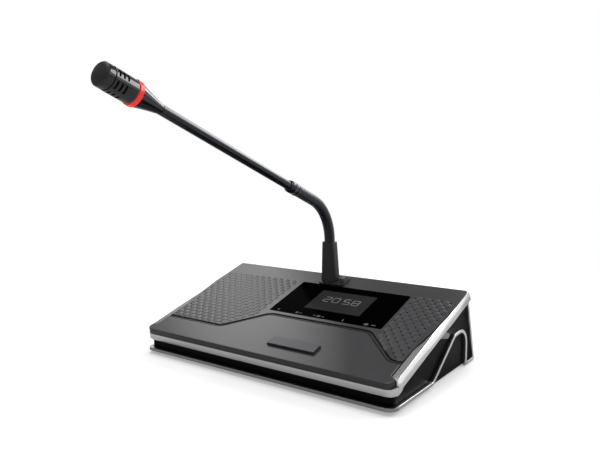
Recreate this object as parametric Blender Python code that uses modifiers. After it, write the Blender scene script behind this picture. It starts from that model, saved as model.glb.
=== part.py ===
# Conference delegate unit: a wedge-shaped desk unit with a display window, a talk button and a
# gooseneck microphone. Metres, +Z up, the front faces -Y. Body places are measured from the middle
# of the wedge; at the end the unit is moved so that the origin lies under the middle of its box.
import math

import bmesh
import bpy
from mathutils import Matrix, Vector

# Overall wedge
deck_half = 0.1045
unit_overhang = 0.003
front_reach = 0.0575
deck_back_reach = 0.056
deck_front_height = 0.0195
deck_back_height = 0.055
rear_foot_reach = 0.0735
rear_lean = math.radians(17.65)

# Clearances and shared cuts
gap = 0.0003
slide_gap = 0.00035
overrun = 0.002
weld_distance = 0.000001

# Cover: the dark deck with its front lip
cover_wall = 0.0022
cover_skirt = 0.0042
cover_waist_inset = 0.0041
cover_mid_inset = 0.0009
cover_back_flare = 0.001
cover_corner = 0.005
cover_back_corner = 0.0015
cover_lip_run = 0.0054
cover_step_run = 0.0088
cover_waist_end = -0.022
cover_mid_v = 0.001
cover_back_v = 0.022
cover_edge_round = 0.0005
groove_width = 0.0012
groove_depth = 0.0005
groove_front_v = -0.0385
groove_back_v = -0.0124
groove_ramp_xs = (-0.0465, -0.0195, 0.0645, 0.0925)
groove_bend = 0.01

# Trim frame round the cover
frame_crease_step = 0.0008
frame_ledge_drop = 0.0008
frame_back_drop = 0.0034
frame_flange_drop = 0.0056
frame_side_drop = 0.0065
frame_rear_drop = 0.0071
frame_lip_share = 0.31
frame_seat_share = 1.4
frame_end_relief = 0.001
frame_corner_shares = (0.35, 0.7, 1.0)
frame_front_drop = 0.0092
frame_front_wall = 0.0057
frame_flange_lap = 0.0012
frame_proud = 0.0005
frame_corner = 0.0075
tongue_step = 0.0007
tongue_thick = 0.0021
tongue_corners = ((0.0035, 0.0058), (0.018, 0.0133), (0.0216, 0.0123), (0.0155, 0.0078), (0.013, 0.0058))
frame_crease_front_v = -0.012
frame_crease_back_v = 0.005

# Display
window_x = 0.0232
window_v = 0.0162
window_width = 0.0944
window_length = 0.0471
window_thick = 0.001
window_corner = 0.0015
window_ledge = 0.002
lcd_x = 0.0241
lcd_v = 0.0174
lcd_view_width = 0.047
lcd_view_length = 0.028
lcd_border = 0.0045
lcd_thick = 0.0032
lcd_recess = 0.0004
board_thick = 0.0016
display_board_margin = 0.0028
display_board_length = 0.041
display_post_radius = 0.0019
display_post_inset = 0.0024

# Talk button and microphone release button
talk_x = 0.024
talk_v = -0.0437
talk_width = 0.0382
talk_length = 0.0092
talk_rise = 0.0016
talk_travel = 0.0008
button_flange = 0.0012
button_flange_thick = 0.001
button_round = 0.0005
talk_board_margin = 0.0055
switch_side = 0.006
switch_height = 0.0034
plunger_radius = 0.0015
plunger_height = 0.0008
release_x = 0.0086
release_v = 0.0482
release_width = 0.0044
release_length = 0.006
release_rise = 0.0042

# Microphone mounting
mic_x = -0.004
mic_y = 0.0447
collar_x = 0.0006
collar_v = 0.0478
collar_width = 0.0235
collar_length = 0.015
collar_thick = 0.001
collar_corner = 0.003
plug_radius = 0.0041
plug_reach = 0.0165
socket_wall = 0.0022
socket_depth = 0.0215
socket_floor = 0.002
socket_flange_width = 0.019
socket_flange_length = 0.0145
socket_flange_thick = 0.002
boot_height = 0.0315
boot_base_width = 0.0152
boot_base_shift = 0.0016
boot_base_length = 0.0096
boot_top_width = 0.0104
boot_top_length = 0.0094
boot_corner = 0.003

# Gooseneck and stem
neck_radius = 0.0042
neck_curve_radius = 0.0364
stem_rise = math.radians(21.1)
neck_straight = 0.0224
neck_hinges = 8
neck_root_length = 0.005
neck_end_length = 0.0064
dome_radius_share = 1.0
ferrule_length = 0.0115
ferrule_radius = 0.0045
ferrule_lip = 0.0022
stem_radius = 0.00315
stem_length = 0.1245

# Microphone head
cone_length = 0.0175
cone_shares = ((0.94, 0.97), (0.68, 0.72), (0.42, 0.4), (0.18, 0.14))
head_radius = 0.007
spigot_radius = 0.0042
ring_length = 0.003
ring_proud = 0.0005
barrel_length = 0.0149
barrel_wall = 0.001
slot_rows = 3
slots_per_row = 6
slot_pitch = 0.0028
slot_first = 0.0073
slot_width = 0.0013
slot_arc_share = 0.66
cap_radius = 0.0069
cap_length = 0.0058
cap_round = 0.0012
cap_dome = 0.0006
cap_crown_share = 0.7
capsule_length = 0.006

# Base tray, cheeks and rear panel
floor_clearance = 0.0022
cheek_thick = 0.005
tray_wall = 0.002
tray_front_y = -0.053
tray_nose_corner = 0.003
panel_thick = 0.0022
panel_top_drop = 0.0049
cheek_inset = 0.0012
cheek_low = 0.0008
post_radius = 0.0036
post_inset = 0.0095
post_front_y = -0.041
post_back_y = 0.0435
screw_radius = 0.0014
screw_hole_radius = 0.0018
screw_head_radius = 0.0028
screw_head_height = 0.0018
screw_length = 0.011
foot_radius = 0.0055
foot_inset = 0.0235
foot_front_y = -0.0415
foot_back_y = 0.0515
foot_round = 0.0004

# Silver ribbon: front bar and the side frames with their arches
ribbon_proud = 0.0015
ribbon_thick = 0.0023
ribbon_front_y = -0.057
ribbon_corner = 0.0065
ribbon_split_y = -0.0495
arch_start_y = -0.001
arch_start_bend = 0.008
arch_apex_height = 0.0288
arch_shoulder_y = 0.0345
arch_shoulder_height = 0.0272
arch_leg_y = 0.0565
arch_leg_bend = 0.012
arch_apex_bend = 0.008
ribbon_foot_height = 0.0004
rear_strip_top = 0.0472

# Inside the tray
ballast_post_clear = 0.0099
ballast_length = 0.058
ballast_thick = 0.004
ballast_y = -0.0125
main_board_width = 0.13
main_board_length = 0.0315
main_board_y = 0.038
main_board_height = 0.0095
main_board_post_radius = 0.0028
main_board_post_inset = 0.004
din_x = 0.027
din_body = 0.018
din_body_length = 0.014
din_nose_radius = 0.0079
din_nose_proud = 0.0012
din_groove_inner = 0.0056
din_groove_outer = 0.0067
din_groove_depth = 0.005
din_pin_radius = 0.0007
din_pin_ring = 0.0035
din_pins = 7
din_first_pin = math.radians(225)
din_pin_sweep = math.radians(270)
jack_x = 0.0535
jack_body = 0.009
jack_nose_radius = 0.0033
jack_bore_radius = 0.0018
jack_bore_depth = 0.012
speaker_inset = 0.0405
speaker_v = 0.006
speaker_radius = 0.02
speaker_paper = 0.0008
speaker_rim_thick = 0.0014
speaker_depth = 0.009
speaker_cone_depth = 0.005
speaker_magnet_radius = 0.01
speaker_magnet_length = 0.006
hole_radius = 0.0008
hole_pitch = 0.0066
hole_row_pitch = 0.004
ribbon_cable_width = 0.012
ribbon_cable_thick = 0.0008

# Circle steps
fine_steps = 32
medium_steps = 24
small_steps = 16
hole_steps = 6
bend_steps = 5
dome_steps = 4
cutter_turn = math.radians(7)

# Worked-out widths
unit_width = 2 * (deck_half + unit_overhang)
cover_waist_half = deck_half - cover_waist_inset
cover_mid_half = deck_half - cover_mid_inset
cover_back_half = deck_half + cover_back_flare
frame_crease_half = deck_half + frame_crease_step
tongue_inner = deck_half + tongue_step
tongue_outer = tongue_inner + tongue_thick
cheek_outer = deck_half - cheek_inset
tray_half = cheek_outer - gap - cheek_thick
frame_flange_half = tray_half - frame_flange_lap
ribbon_outer = deck_half + ribbon_proud
post_x = tray_half - post_inset
foot_x = tray_half - foot_inset
speaker_x = speaker_inset - deck_half
ballast_width = 2 * (post_x - post_radius - ballast_post_clear)
display_board_width = window_width + 2 * display_board_margin

# Worked-out directions and places
deck_angle = math.atan2(deck_back_height - deck_front_height, deck_back_reach + front_reach)
deck_slope = math.tan(deck_angle)
deck_mid_height = deck_front_height + deck_slope * front_reach
deck_front_v = -front_reach / math.cos(deck_angle)
deck_end_v = deck_back_reach / math.cos(deck_angle)
stem_turn = math.radians(90) - stem_rise
mic_base_height = deck_mid_height + deck_slope * mic_y
boot_top = mic_base_height + boot_height
neck_arc = neck_curve_radius * stem_turn
neck_length = neck_arc + neck_straight
neck_step = (neck_length - neck_root_length - neck_end_length) / (neck_hinges - 1)
ribbon_low = floor_clearance
ribbon_high = floor_clearance + ribbon_thick


def deck_height(y):
    return deck_mid_height + deck_slope * y


def rear_y(z):
    return rear_foot_reach - z * math.tan(rear_lean)


def below_deck(y, depth):
    """Height of a plane that runs parallel to the deck, depth below its surface, at y."""
    return deck_height(y) - depth / math.cos(deck_angle)


def make_material(name, colour, roughness, metallic=0.0):
    material = bpy.data.materials.new(name)
    material.use_nodes = True
    shader = material.node_tree.nodes["Principled BSDF"]
    shader.inputs["Base Color"].default_value = (*colour, 1.0)
    shader.inputs["Roughness"].default_value = roughness
    shader.inputs["Metallic"].default_value = metallic
    return material


def clear_scene():
    for item in list(bpy.data.objects):
        bpy.data.objects.remove(item, do_unlink=True)


def add_object(name, mesh, collection, material=None, parent=None):
    item = bpy.data.objects.new(name, mesh)
    collection.objects.link(item)
    item.parent = parent
    if material:
        mesh.materials.append(material)
    return item


def add_empty(name, location, rotation=(0, 0, 0), parent=None):
    item = bpy.data.objects.new(name, None)
    parts.objects.link(item)
    item.location = location
    item.rotation_euler = rotation
    item.parent = parent
    return item


def as_cutter(item):
    for owner in list(item.users_collection):
        owner.objects.unlink(item)
    cutters.objects.link(item)
    item.hide_render = True
    item.display_type = "WIRE"
    return item


def combine(target, tool, operation):
    as_cutter(tool)
    step = target.modifiers.new(operation.lower(), "BOOLEAN")
    step.operation = operation
    step.solver = "EXACT"
    step.object = tool


def cut(target, tool):
    combine(target, tool, "DIFFERENCE")


def join(target, tool):
    combine(target, tool, "UNION")


def box(name, low, high, material=None, parent=None):
    """A block between two corners, in its parent's frame."""
    mesh = bpy.data.meshes.new(name)
    shape = bmesh.new()
    size = Vector(high) - Vector(low)
    middle = (Vector(high) + Vector(low)) / 2
    placed = Matrix.Translation(middle) @ Matrix.Diagonal((*size, 1.0))
    bmesh.ops.create_cube(shape, size=1.0, matrix=placed)
    shape.to_mesh(mesh)
    shape.free()
    return add_object(name, mesh, parts, material, parent)


def rounded(corners, steps=bend_steps):
    """Outline points from (x, y, radius) corners, each radius as an arc."""
    points = []
    count = len(corners)
    for index, (x, y, radius) in enumerate(corners):
        here = Vector((x, y))
        if radius == 0:
            points.append(here)
            continue
        before = Vector(corners[index - 1][:2]) - here
        after = Vector(corners[(index + 1) % count][:2]) - here
        before.normalize()
        after.normalize()
        half = before.angle(after) / 2
        centre = here + (before + after).normalized() * radius / math.sin(half)
        start = here + before * radius / math.tan(half) - centre
        sweep = math.pi - 2 * half
        if before.x * after.y - before.y * after.x > 0:
            sweep = -sweep
        for step in range(steps + 1):
            turn = Matrix.Rotation(sweep * step / steps, 2)
            points.append(centre + turn @ start)
    return points


def offset_path(points, distance):
    """The same open path moved sideways, to the left of its direction."""
    moved = []
    for index, point in enumerate(points):
        if index < len(points) - 1:
            ahead = (points[index + 1] - point).normalized()
        else:
            ahead = (point - points[index - 1]).normalized()
        behind = (point - points[index - 1]).normalized() if index else ahead
        normal_a = Vector((-behind.y, behind.x))
        normal_b = Vector((-ahead.y, ahead.x))
        middle = (normal_a + normal_b).normalized()
        moved.append(point + middle * distance / middle.dot(normal_b))
    return moved


def prism(name, outline, low, high, material=None, parent=None):
    """A flat outline filled and given thickness from low to high along local Z."""
    curve = bpy.data.curves.new(name, "CURVE")
    curve.dimensions = "2D"
    curve.fill_mode = "BOTH"
    curve.extrude = (high - low) / 2
    spline = curve.splines.new("POLY")
    spline.points.add(len(outline) - 1)
    for point, place in zip(spline.points, outline):
        point.co = (place[0], place[1], 0, 1)
    spline.use_cyclic_u = True
    guide = add_object(name + "_outline", curve, parts)
    bpy.context.view_layer.update()
    depsgraph = bpy.context.evaluated_depsgraph_get()
    mesh = bpy.data.meshes.new_from_object(guide.evaluated_get(depsgraph))
    mesh.name = name
    bpy.data.objects.remove(guide, do_unlink=True)
    bpy.data.curves.remove(curve)
    shape = bmesh.new()
    shape.from_mesh(mesh)
    bmesh.ops.remove_doubles(shape, verts=shape.verts, dist=weld_distance)
    bmesh.ops.translate(shape, verts=shape.verts, vec=(0, 0, (low + high) / 2))
    bmesh.ops.recalc_face_normals(shape, faces=shape.faces)
    shape.to_mesh(mesh)
    shape.free()
    mesh.materials.clear()
    return add_object(name, mesh, parts, material, parent)


def rounded_box(name, centre, size, corner, low, high, material=None, parent=None):
    half_x = size[0] / 2
    half_y = size[1] / 2
    signs = ((-1, -1), (1, -1), (1, 1), (-1, 1))
    corners = [(centre[0] + half_x * a, centre[1] + half_y * b, corner) for a, b in signs]
    return prism(name, rounded(corners), low, high, material, parent)


def turned(name, profile, steps, material=None, parent=None):
    """A solid of revolution about local Z from (radius, height) points, outer side top to bottom."""
    mesh = bpy.data.meshes.new(name)
    closed = profile[0][0] > 0
    edges = [(index, index + 1) for index in range(len(profile) - 1)]
    if closed:
        edges.append((len(profile) - 1, 0))
    mesh.from_pydata([(radius, 0, height) for radius, height in profile], edges, [])
    item = add_object(name, mesh, parts, material, parent)
    screw = item.modifiers.new("turn", "SCREW")
    screw.axis = "Z"
    screw.angle = 2 * math.pi
    screw.steps = steps
    screw.render_steps = steps
    screw.use_merge_vertices = True
    screw.merge_threshold = weld_distance
    return item


def rod(name, radius, low, high, steps, material=None, parent=None):
    return turned(name, [(0, high), (radius, high), (radius, low), (0, low)], steps, material, parent)


def round_rim(item, radius):
    """Round the edges round the top face of a flat-topped prism."""
    shape = bmesh.new()
    shape.from_mesh(item.data)
    top = max(vertex.co.z for vertex in shape.verts)
    flat = [edge for edge in shape.edges if all(abs(face.normal.z) > 0.5 for face in edge.link_faces)]
    bmesh.ops.dissolve_edges(shape, edges=flat)
    rim = [edge for edge in shape.edges if all(vertex.co.z > top - weld_distance for vertex in edge.verts)]
    bmesh.ops.bevel(shape, geom=rim, offset=radius, segments=2, profile=0.5, affect="EDGES")
    bmesh.ops.triangulate(shape, faces=shape.faces)
    shape.to_mesh(item.data)
    shape.free()


def smooth(item, angle=math.radians(35)):
    item.data.shade_smooth()
    if item.data.polygons:
        item.data.set_sharp_from_angle(angle=angle)
    return item


def cover_outline(inset=0.0):
    """Plan of the dark cover on the deck plane, moved in by inset."""
    half = [
        (deck_half - inset, deck_front_v + inset, cover_corner - inset),
        (deck_half - inset, deck_front_v + cover_lip_run, 0),
        (cover_waist_half - inset, deck_front_v + cover_step_run, 0),
        (cover_waist_half - inset, cover_waist_end, 0),
        (cover_mid_half - inset, cover_mid_v, 0),
        (cover_back_half - inset, cover_back_v, 0),
        (cover_back_half - inset, deck_end_v - inset, cover_back_corner),
    ]
    other = [(-x, v, radius) for x, v, radius in reversed(half)]
    return rounded(half + other)


def groove_path():
    ramp = groove_ramp_xs
    edge = cover_back_half + overrun
    corners = [
        (-edge, groove_front_v, 0),
        (ramp[0], groove_front_v, groove_bend),
        (ramp[1], groove_back_v, groove_bend),
        (ramp[2], groove_back_v, groove_bend),
        (ramp[3], groove_front_v, groove_bend),
        (edge, groove_front_v, 0),
    ]
    return rounded(corners)


def sound_places():
    """Middles of the sound holes over the speaker, in staggered rows."""
    reach = speaker_radius - 3 * speaker_rim_thick
    rows = int(reach / hole_row_pitch)
    columns = int(reach / hole_pitch) + 1
    for row in range(-rows, rows + 1):
        shift = hole_pitch / 2 if row % 2 else 0.0
        for column in range(-columns, columns + 1):
            x = column * hole_pitch + shift
            v = row * hole_row_pitch
            if math.hypot(x, v) <= reach:
                yield speaker_x + x, speaker_v + v


def make_sound_drills():
    mesh = bpy.data.meshes.new("sound_drills")
    shape = bmesh.new()
    for x, v in sound_places():
        placed = Matrix.Translation((x, v, 0)) @ Matrix.Rotation(cutter_turn, 4, "Z")
        bmesh.ops.create_cone(shape, cap_ends=True, segments=hole_steps, radius1=hole_radius,
                              radius2=hole_radius, depth=2 * (cover_skirt + overrun), matrix=placed)
    shape.to_mesh(mesh)
    shape.free()
    return add_object("sound_drills", mesh, parts, None, deck_frame)


def make_cover():
    """The cover is an open box of one wall thickness with the holes for what sits in it."""
    cover = prism("top_cover", cover_outline(), -cover_skirt, 0, cover_plastic, deck_frame)
    round_rim(cover, cover_edge_round)
    cut(cover, make_sound_drills())
    cut(cover, prism("cover_hollow", cover_outline(cover_wall), -cover_skirt - overrun, -cover_wall,
                     None, deck_frame))
    pocket = (window_width + 2 * gap, window_length + 2 * gap)
    opening = (window_width - 2 * window_ledge, window_length - 2 * window_ledge)
    middle = (window_x, window_v)
    cut(cover, rounded_box("window_pocket", middle, pocket, window_corner,
                           -window_thick - gap, overrun, None, deck_frame))
    cut(cover, rounded_box("window_opening", middle, opening, window_corner,
                           -cover_wall - overrun, overrun, None, deck_frame))
    for name, x, v, width, length in (("talk", talk_x, talk_v, talk_width, talk_length),
                                      ("release", release_x, release_v, release_width, release_length)):
        hole = (width + 2 * slide_gap, length + 2 * slide_gap)
        cut(cover, rounded_box(name + "_hole", (x, v), hole, button_round,
                               -cover_wall - overrun, overrun, None, deck_frame))
    path = groove_path()
    sides = offset_path(path, groove_width / 2) + offset_path(path, -groove_width / 2)[::-1]
    cut(cover, prism("groove_tool", sides, -groove_depth, overrun, None, deck_frame))
    cut(cover, plug_hole_tool("cover_plug_drill"))
    board_half_x = display_board_width / 2 - display_post_inset
    board_half_v = display_board_length / 2 - display_post_inset
    board_top = cover_wall + gap + lcd_thick + gap
    for a, b in ((-1, -1), (1, -1), (1, 1), (-1, 1)):
        post = rod("display_post", display_post_radius, -board_top + gap, -cover_wall / 2, small_steps,
                   None, deck_frame)
        post.location = (window_x + a * board_half_x, window_v + b * board_half_v, 0)
        join(cover, post)
    return cover


def plug_hole_tool(name):
    tool = rod(name, plug_radius + gap + slide_gap, -mic_base_height / 2, mic_base_height / 2,
               medium_steps, None, unit)
    tool.location = (mic_x, mic_y, mic_base_height)
    return tool


def frame_section(inner, crease, outer, flange, top, crease_drop, bottom):
    """One cross-section of the trim frame as (x, v, depth) corners, with a lip down its outside."""
    lip = [a + (b - a) * frame_lip_share for a, b in zip(outer, flange)]
    return [
        (*inner, -top),
        (*crease, -crease_drop),
        (*outer, -bottom),
        (*lip, -bottom),
        (*lip, -frame_flange_drop),
        (*flange, -frame_flange_drop),
        (*flange, -cover_skirt - gap),
        (*inner, -cover_skirt - gap),
    ]


def make_trim_frame():
    """U-shaped frame lofted from the rear end of one cheek to the middle of the front bar."""
    outer_half = unit_width / 2
    front_v = deck_front_v - frame_proud
    flange_v = deck_front_v + frame_front_wall
    bar_top = cover_skirt + gap
    seat = frame_seat_share * slide_gap
    ledge = frame_ledge_drop
    step_v = deck_front_v + cover_lip_run
    waist = cover_waist_half
    halfway = (cover_mid_half + waist) / 2 + seat
    back_crease = outer_half - gap
    corner_drop = (frame_side_drop + frame_front_drop) / 2
    side_stations = (
        (deck_end_v, cover_back_half, back_crease, ledge, frame_back_drop, frame_rear_drop),
        (cover_back_v, cover_back_half, back_crease, ledge, frame_back_drop, frame_rear_drop),
        (frame_crease_back_v, cover_mid_half + seat, back_crease, ledge, frame_back_drop, frame_side_drop),
        (frame_crease_front_v, halfway, frame_crease_half, ledge, ledge, frame_side_drop),
        (cover_waist_end, waist, frame_crease_half, ledge, ledge, frame_side_drop),
        (deck_front_v + cover_step_run, waist, frame_crease_half, ledge, ledge, frame_side_drop),
        (step_v, deck_half, frame_crease_half + seat, ledge, ledge, corner_drop),
        (step_v - gap, deck_half, back_crease, bar_top - gap / 2, bar_top - gap / 3, corner_drop),
    )
    sections = []
    for v, inner_half, crease_half, top, crease_drop, bottom in side_stations:
        flange_end = v - frame_end_relief if v == deck_end_v else v
        sections.append(frame_section((inner_half + seat, v), (crease_half, v), (outer_half, v),
                                      (frame_flange_half, flange_end), top, crease_drop, bottom))
    corner_v = front_v + frame_corner
    for share in frame_corner_shares:
        turn = share * math.radians(90)
        x = outer_half - frame_corner + frame_corner * math.cos(turn)
        v = corner_v - frame_corner * math.sin(turn)
        inner_x = min(x - frame_front_wall / 2, deck_half + seat)
        sections.append(frame_section((inner_x, v + frame_front_wall / 2 * share), (x - gap, v + gap),
                                      (x, v), (frame_flange_half - share * frame_front_wall, flange_v),
                                      bar_top - gap / 2, bar_top - gap / 3, frame_front_drop))
    sections.append(frame_section((0, front_v + frame_front_wall / 2), (0, front_v + gap), (0, front_v),
                                  (0, flange_v), bar_top - gap / 2, bar_top - gap / 3, frame_front_drop))
    mesh = bpy.data.meshes.new("trim_frame")
    shape = bmesh.new()
    rings = [[shape.verts.new(corner) for corner in section] for section in sections]
    count = len(rings[0])
    for ahead, behind in zip(rings, rings[1:]):
        for index in range(count):
            after = (index + 1) % count
            shape.faces.new((ahead[index], ahead[after], behind[after], behind[index]))
    shape.faces.new(rings[0])
    bmesh.ops.triangulate(shape, faces=shape.faces, ngon_method="EAR_CLIP")
    bmesh.ops.recalc_face_normals(shape, faces=shape.faces)
    shape.to_mesh(mesh)
    shape.free()
    frame = add_object("trim_frame", mesh, parts, silver, deck_frame)
    mirror = frame.modifiers.new("mirror", "MIRROR")
    mirror.use_axis = (True, False, False)
    mirror.use_clip = True
    mirror.merge_threshold = weld_distance
    for side in (-1, 1):
        outline = [(y, below_deck(y, drop)) for y, drop in tongue_corners]
        low, high = sorted((side * tongue_inner, side * tongue_outer))
        join(frame, side_place(prism("trim_tongue", outline, low, high, None, unit), 0))
    return frame


def make_display():
    rounded_box("display_window", (window_x, window_v), (window_width, window_length), window_corner,
                -window_thick, 0, gloss_black, deck_frame)
    lcd_top = -cover_wall - gap
    half = (lcd_view_width / 2, lcd_view_length / 2)
    outer = (half[0] + lcd_border, half[1] + lcd_border)
    lcd = box("lcd_module", (lcd_x - outer[0], lcd_v - outer[1], lcd_top - lcd_thick),
              (lcd_x + outer[0], lcd_v + outer[1], lcd_top), lcd_grey, deck_frame)
    cut(lcd, box("lcd_view", (lcd_x - half[0], lcd_v - half[1], lcd_top - lcd_recess),
                 (lcd_x + half[0], lcd_v + half[1], lcd_top + overrun), None, deck_frame))
    board_top = lcd_top - lcd_thick - gap
    half = (display_board_width / 2, display_board_length / 2)
    box("display_board", (window_x - half[0], window_v - half[1], board_top - board_thick),
        (window_x + half[0], window_v + half[1], board_top), board_green, deck_frame)
    return board_top - board_thick


def make_press_button(name, x, v, width, length, rise, material):
    """A cap through the cover with a flange under it; its origin lies on its line of travel."""
    base = add_empty(name + "_axis", (x, v, 0), parent=deck_frame)
    flange_top = -cover_wall - gap
    cap = rounded_box(name, (0, 0), (width, length), button_round, flange_top, rise, material, base)
    flange = rounded_box(name + "_flange", (0, 0), (width + 2 * button_flange, length + 2 * button_flange),
                         button_round, flange_top - button_flange_thick, flange_top, None, base)
    join(cap, flange)
    return cap


def make_talk_button():
    make_press_button("talk_button", talk_x, talk_v, talk_width, talk_length, talk_rise, key_plastic)
    flange_low = -cover_wall - gap - button_flange_thick
    plunger_top = flange_low - talk_travel - gap
    switch_low = plunger_top - plunger_height - switch_height
    half = switch_side / 2
    switch = box("talk_switch", (talk_x - half, talk_v - half, switch_low),
                 (talk_x + half, talk_v + half, switch_low + switch_height), black_plastic, deck_frame)
    plunger = rod("switch_plunger", plunger_radius, switch_low + switch_height / 2, plunger_top,
                  small_steps, None, deck_frame)
    plunger.location = (talk_x, talk_v, 0)
    join(switch, plunger)
    half_x = talk_width / 2 + talk_board_margin
    half_v = talk_length / 2
    board_high = switch_low - gap
    board = box("talk_board", (talk_x - half_x, talk_v - half_v, board_high - board_thick),
                (talk_x + half_x, talk_v + half_v, board_high), board_green, deck_frame)
    return board, board_high


def make_talk_posts(cover, board_high):
    """Two posts under the cover that carry the talk switch board."""
    reach = talk_width / 2 + talk_board_margin - display_post_radius
    for side in (-1, 1):
        post = rod("talk_post", display_post_radius, board_high + gap, -cover_wall / 2, small_steps,
                   None, deck_frame)
        post.location = (talk_x + side * reach, talk_v, 0)
        join(cover, post)


def make_mic_mount():
    collar_low = gap
    collar_high = collar_low + collar_thick
    collar = rounded_box("socket_collar", (collar_x, collar_v), (collar_width, collar_length),
                         collar_corner, collar_low, collar_high, cover_plastic, deck_frame)
    cut(collar, plug_hole_tool("collar_plug_drill"))
    hole = (release_width + 2 * slide_gap, release_length + 2 * slide_gap)
    cut(collar, rounded_box("collar_release_hole", (release_x, release_v), hole, button_round,
                            -overrun, collar_high + overrun, None, deck_frame))
    make_press_button("release_button", release_x, release_v, release_width, release_length,
                      release_rise, black_plastic)
    bore = plug_radius + slide_gap
    outer = bore + socket_wall
    under_cover = -cover_wall - gap
    socket_top = below_deck(mic_y - outer, cover_wall + gap) - gap
    socket_low = socket_top - socket_depth
    sleeve = [(outer, socket_top), (outer, socket_low - socket_floor), (0, socket_low - socket_floor),
              (0, socket_low), (bore, socket_low), (bore, socket_top)]
    socket = turned("mic_socket", sleeve[3:] + sleeve[:3], medium_steps, brass_metal, unit)
    socket.location = (mic_x, mic_y, 0)
    flange_v = (mic_y / math.cos(deck_angle), socket_flange_length / 2)
    flange_low = (mic_x - socket_flange_width / 2, flange_v[0] - flange_v[1],
                  under_cover - socket_flange_thick)
    flange_high = (mic_x + socket_flange_width / 2 - release_width, flange_v[0] + flange_v[1], under_cover)
    flange = box("socket_flange", flange_low, flange_high, None, deck_frame)
    join(socket, flange)
    cut(socket, plug_hole_tool("socket_mouth_drill"))
    return socket_low


def make_boot(socket_low):
    """The boot and its plug slide up together out of the socket."""
    axis = add_empty("mic_plug_axis", (mic_x, mic_y, mic_base_height), parent=unit)
    mesh = bpy.data.meshes.new("mic_boot")
    shape = bmesh.new()
    low = -boot_base_length
    size = Matrix.Diagonal((boot_base_width, boot_base_length, boot_height - low, 1.0))
    placed = Matrix.Translation((0, 0, (boot_height + low) / 2)) @ size
    bmesh.ops.create_cube(shape, size=1.0, matrix=placed)
    for vertex in shape.verts:
        if vertex.co.z > 0:
            vertex.co.x *= boot_top_width / boot_base_width
            vertex.co.y *= boot_top_length / boot_base_length
        else:
            vertex.co.x += boot_base_shift
    upright = [edge for edge in shape.edges
               if abs((edge.verts[0].co - edge.verts[1].co).z) > boot_height / 2]
    bmesh.ops.bevel(shape, geom=upright, offset=boot_corner, segments=bend_steps, profile=0.5,
                    affect="EDGES")
    shape.to_mesh(mesh)
    shape.free()
    boot = add_object("mic_boot", mesh, parts, rubber_black, axis)
    reach = unit_width / 2
    cut(boot, box("boot_seat_tool", (-reach, -reach, -reach), (reach, reach, 2 * gap + collar_thick),
                  None, deck_frame))
    plug_top = -boot_base_length * deck_slope
    plug_low = max(socket_low + gap - mic_base_height, -plug_reach)
    plug = rod("mic_plug", plug_radius, plug_low, plug_top + boot_base_length, medium_steps, steel, axis)
    seat = box("plug_seat_tool", (-reach, -reach, gap + collar_thick), (reach, reach, reach), None,
               deck_frame)
    cut(plug, seat)
    return axis


def neck_point(distance):
    """Point on the gooseneck's centre line, measured from the boot's top, and its tilt."""
    if distance <= neck_arc:
        turn = distance / neck_curve_radius
        y = mic_y - neck_curve_radius * (1 - math.cos(turn))
        z = boot_top + neck_curve_radius * math.sin(turn)
        return Vector((mic_x, y, z)), turn
    end, turn = neck_point(neck_arc)
    run = distance - neck_arc
    return end + Vector((0, -math.sin(turn), math.cos(turn))) * run, turn


def neck_profile(length, has_cup, has_dome):
    """Turned outline of one neck link: a dome at its top turns inside the next link's cup."""
    radius = neck_radius
    dome = radius * dome_radius_share
    cup = dome + slide_gap
    arc = dome_steps
    profile = []
    if has_dome:
        for step in range(arc + 1):
            angle = math.radians(90) * step / arc
            profile.append((dome * math.sin(angle), length + dome * math.cos(angle)))
    else:
        profile += [(0, length), (radius, length)]
    if has_cup:
        wide = math.asin(min(1.0, radius / cup))
        for step in range(arc + 1):
            angle = wide * (1 - step / arc)
            profile.append((cup * math.sin(angle), cup * math.cos(angle)))
    else:
        profile += [(radius, 0), (0, 0)]
    return profile


def make_neck(mic_axis):
    """Links from hinge to hinge; each link's origin is its lower hinge."""
    hinges = [neck_point(neck_root_length + index * neck_step)[0] for index in range(neck_hinges)]
    start = neck_point(0)[0] + Vector((0, 0, 2 * gap))
    end, turn = neck_point(neck_length)
    places = [start] + hinges + [end]
    for index in range(neck_hinges + 1):
        low = places[index]
        high = places[index + 1]
        run = high - low
        tilt = math.atan2(-run.y, run.z)
        first = index == 0
        last = index == neck_hinges
        length = run.length - (gap if last else 0)
        name = "neck_root" if first else f"neck_link_{index}"
        if last:
            name = "neck_end"
        link = turned(name, neck_profile(length, not first, not last), small_steps, neck_black, unit)
        link.location = low
        link.rotation_euler = (tilt, 0, 0)
        smooth(link)
    return end, turn


def make_stem(end):
    frame = add_empty("stem_frame", end, (stem_turn, 0, 0), parent=unit)
    lip = ferrule_lip
    ferrule = [(0, ferrule_length), (stem_radius + gap, ferrule_length),
               (ferrule_radius, ferrule_length - lip), (ferrule_radius, lip / 2),
               (ferrule_radius - lip / 4, 0), (0, 0)]
    turned("neck_ferrule", ferrule, medium_steps, gloss_black, frame)
    low = ferrule_length + gap
    high = low + stem_length
    rod("stem_tube", stem_radius, low, high, medium_steps, neck_black, frame)
    return frame, high


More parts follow.
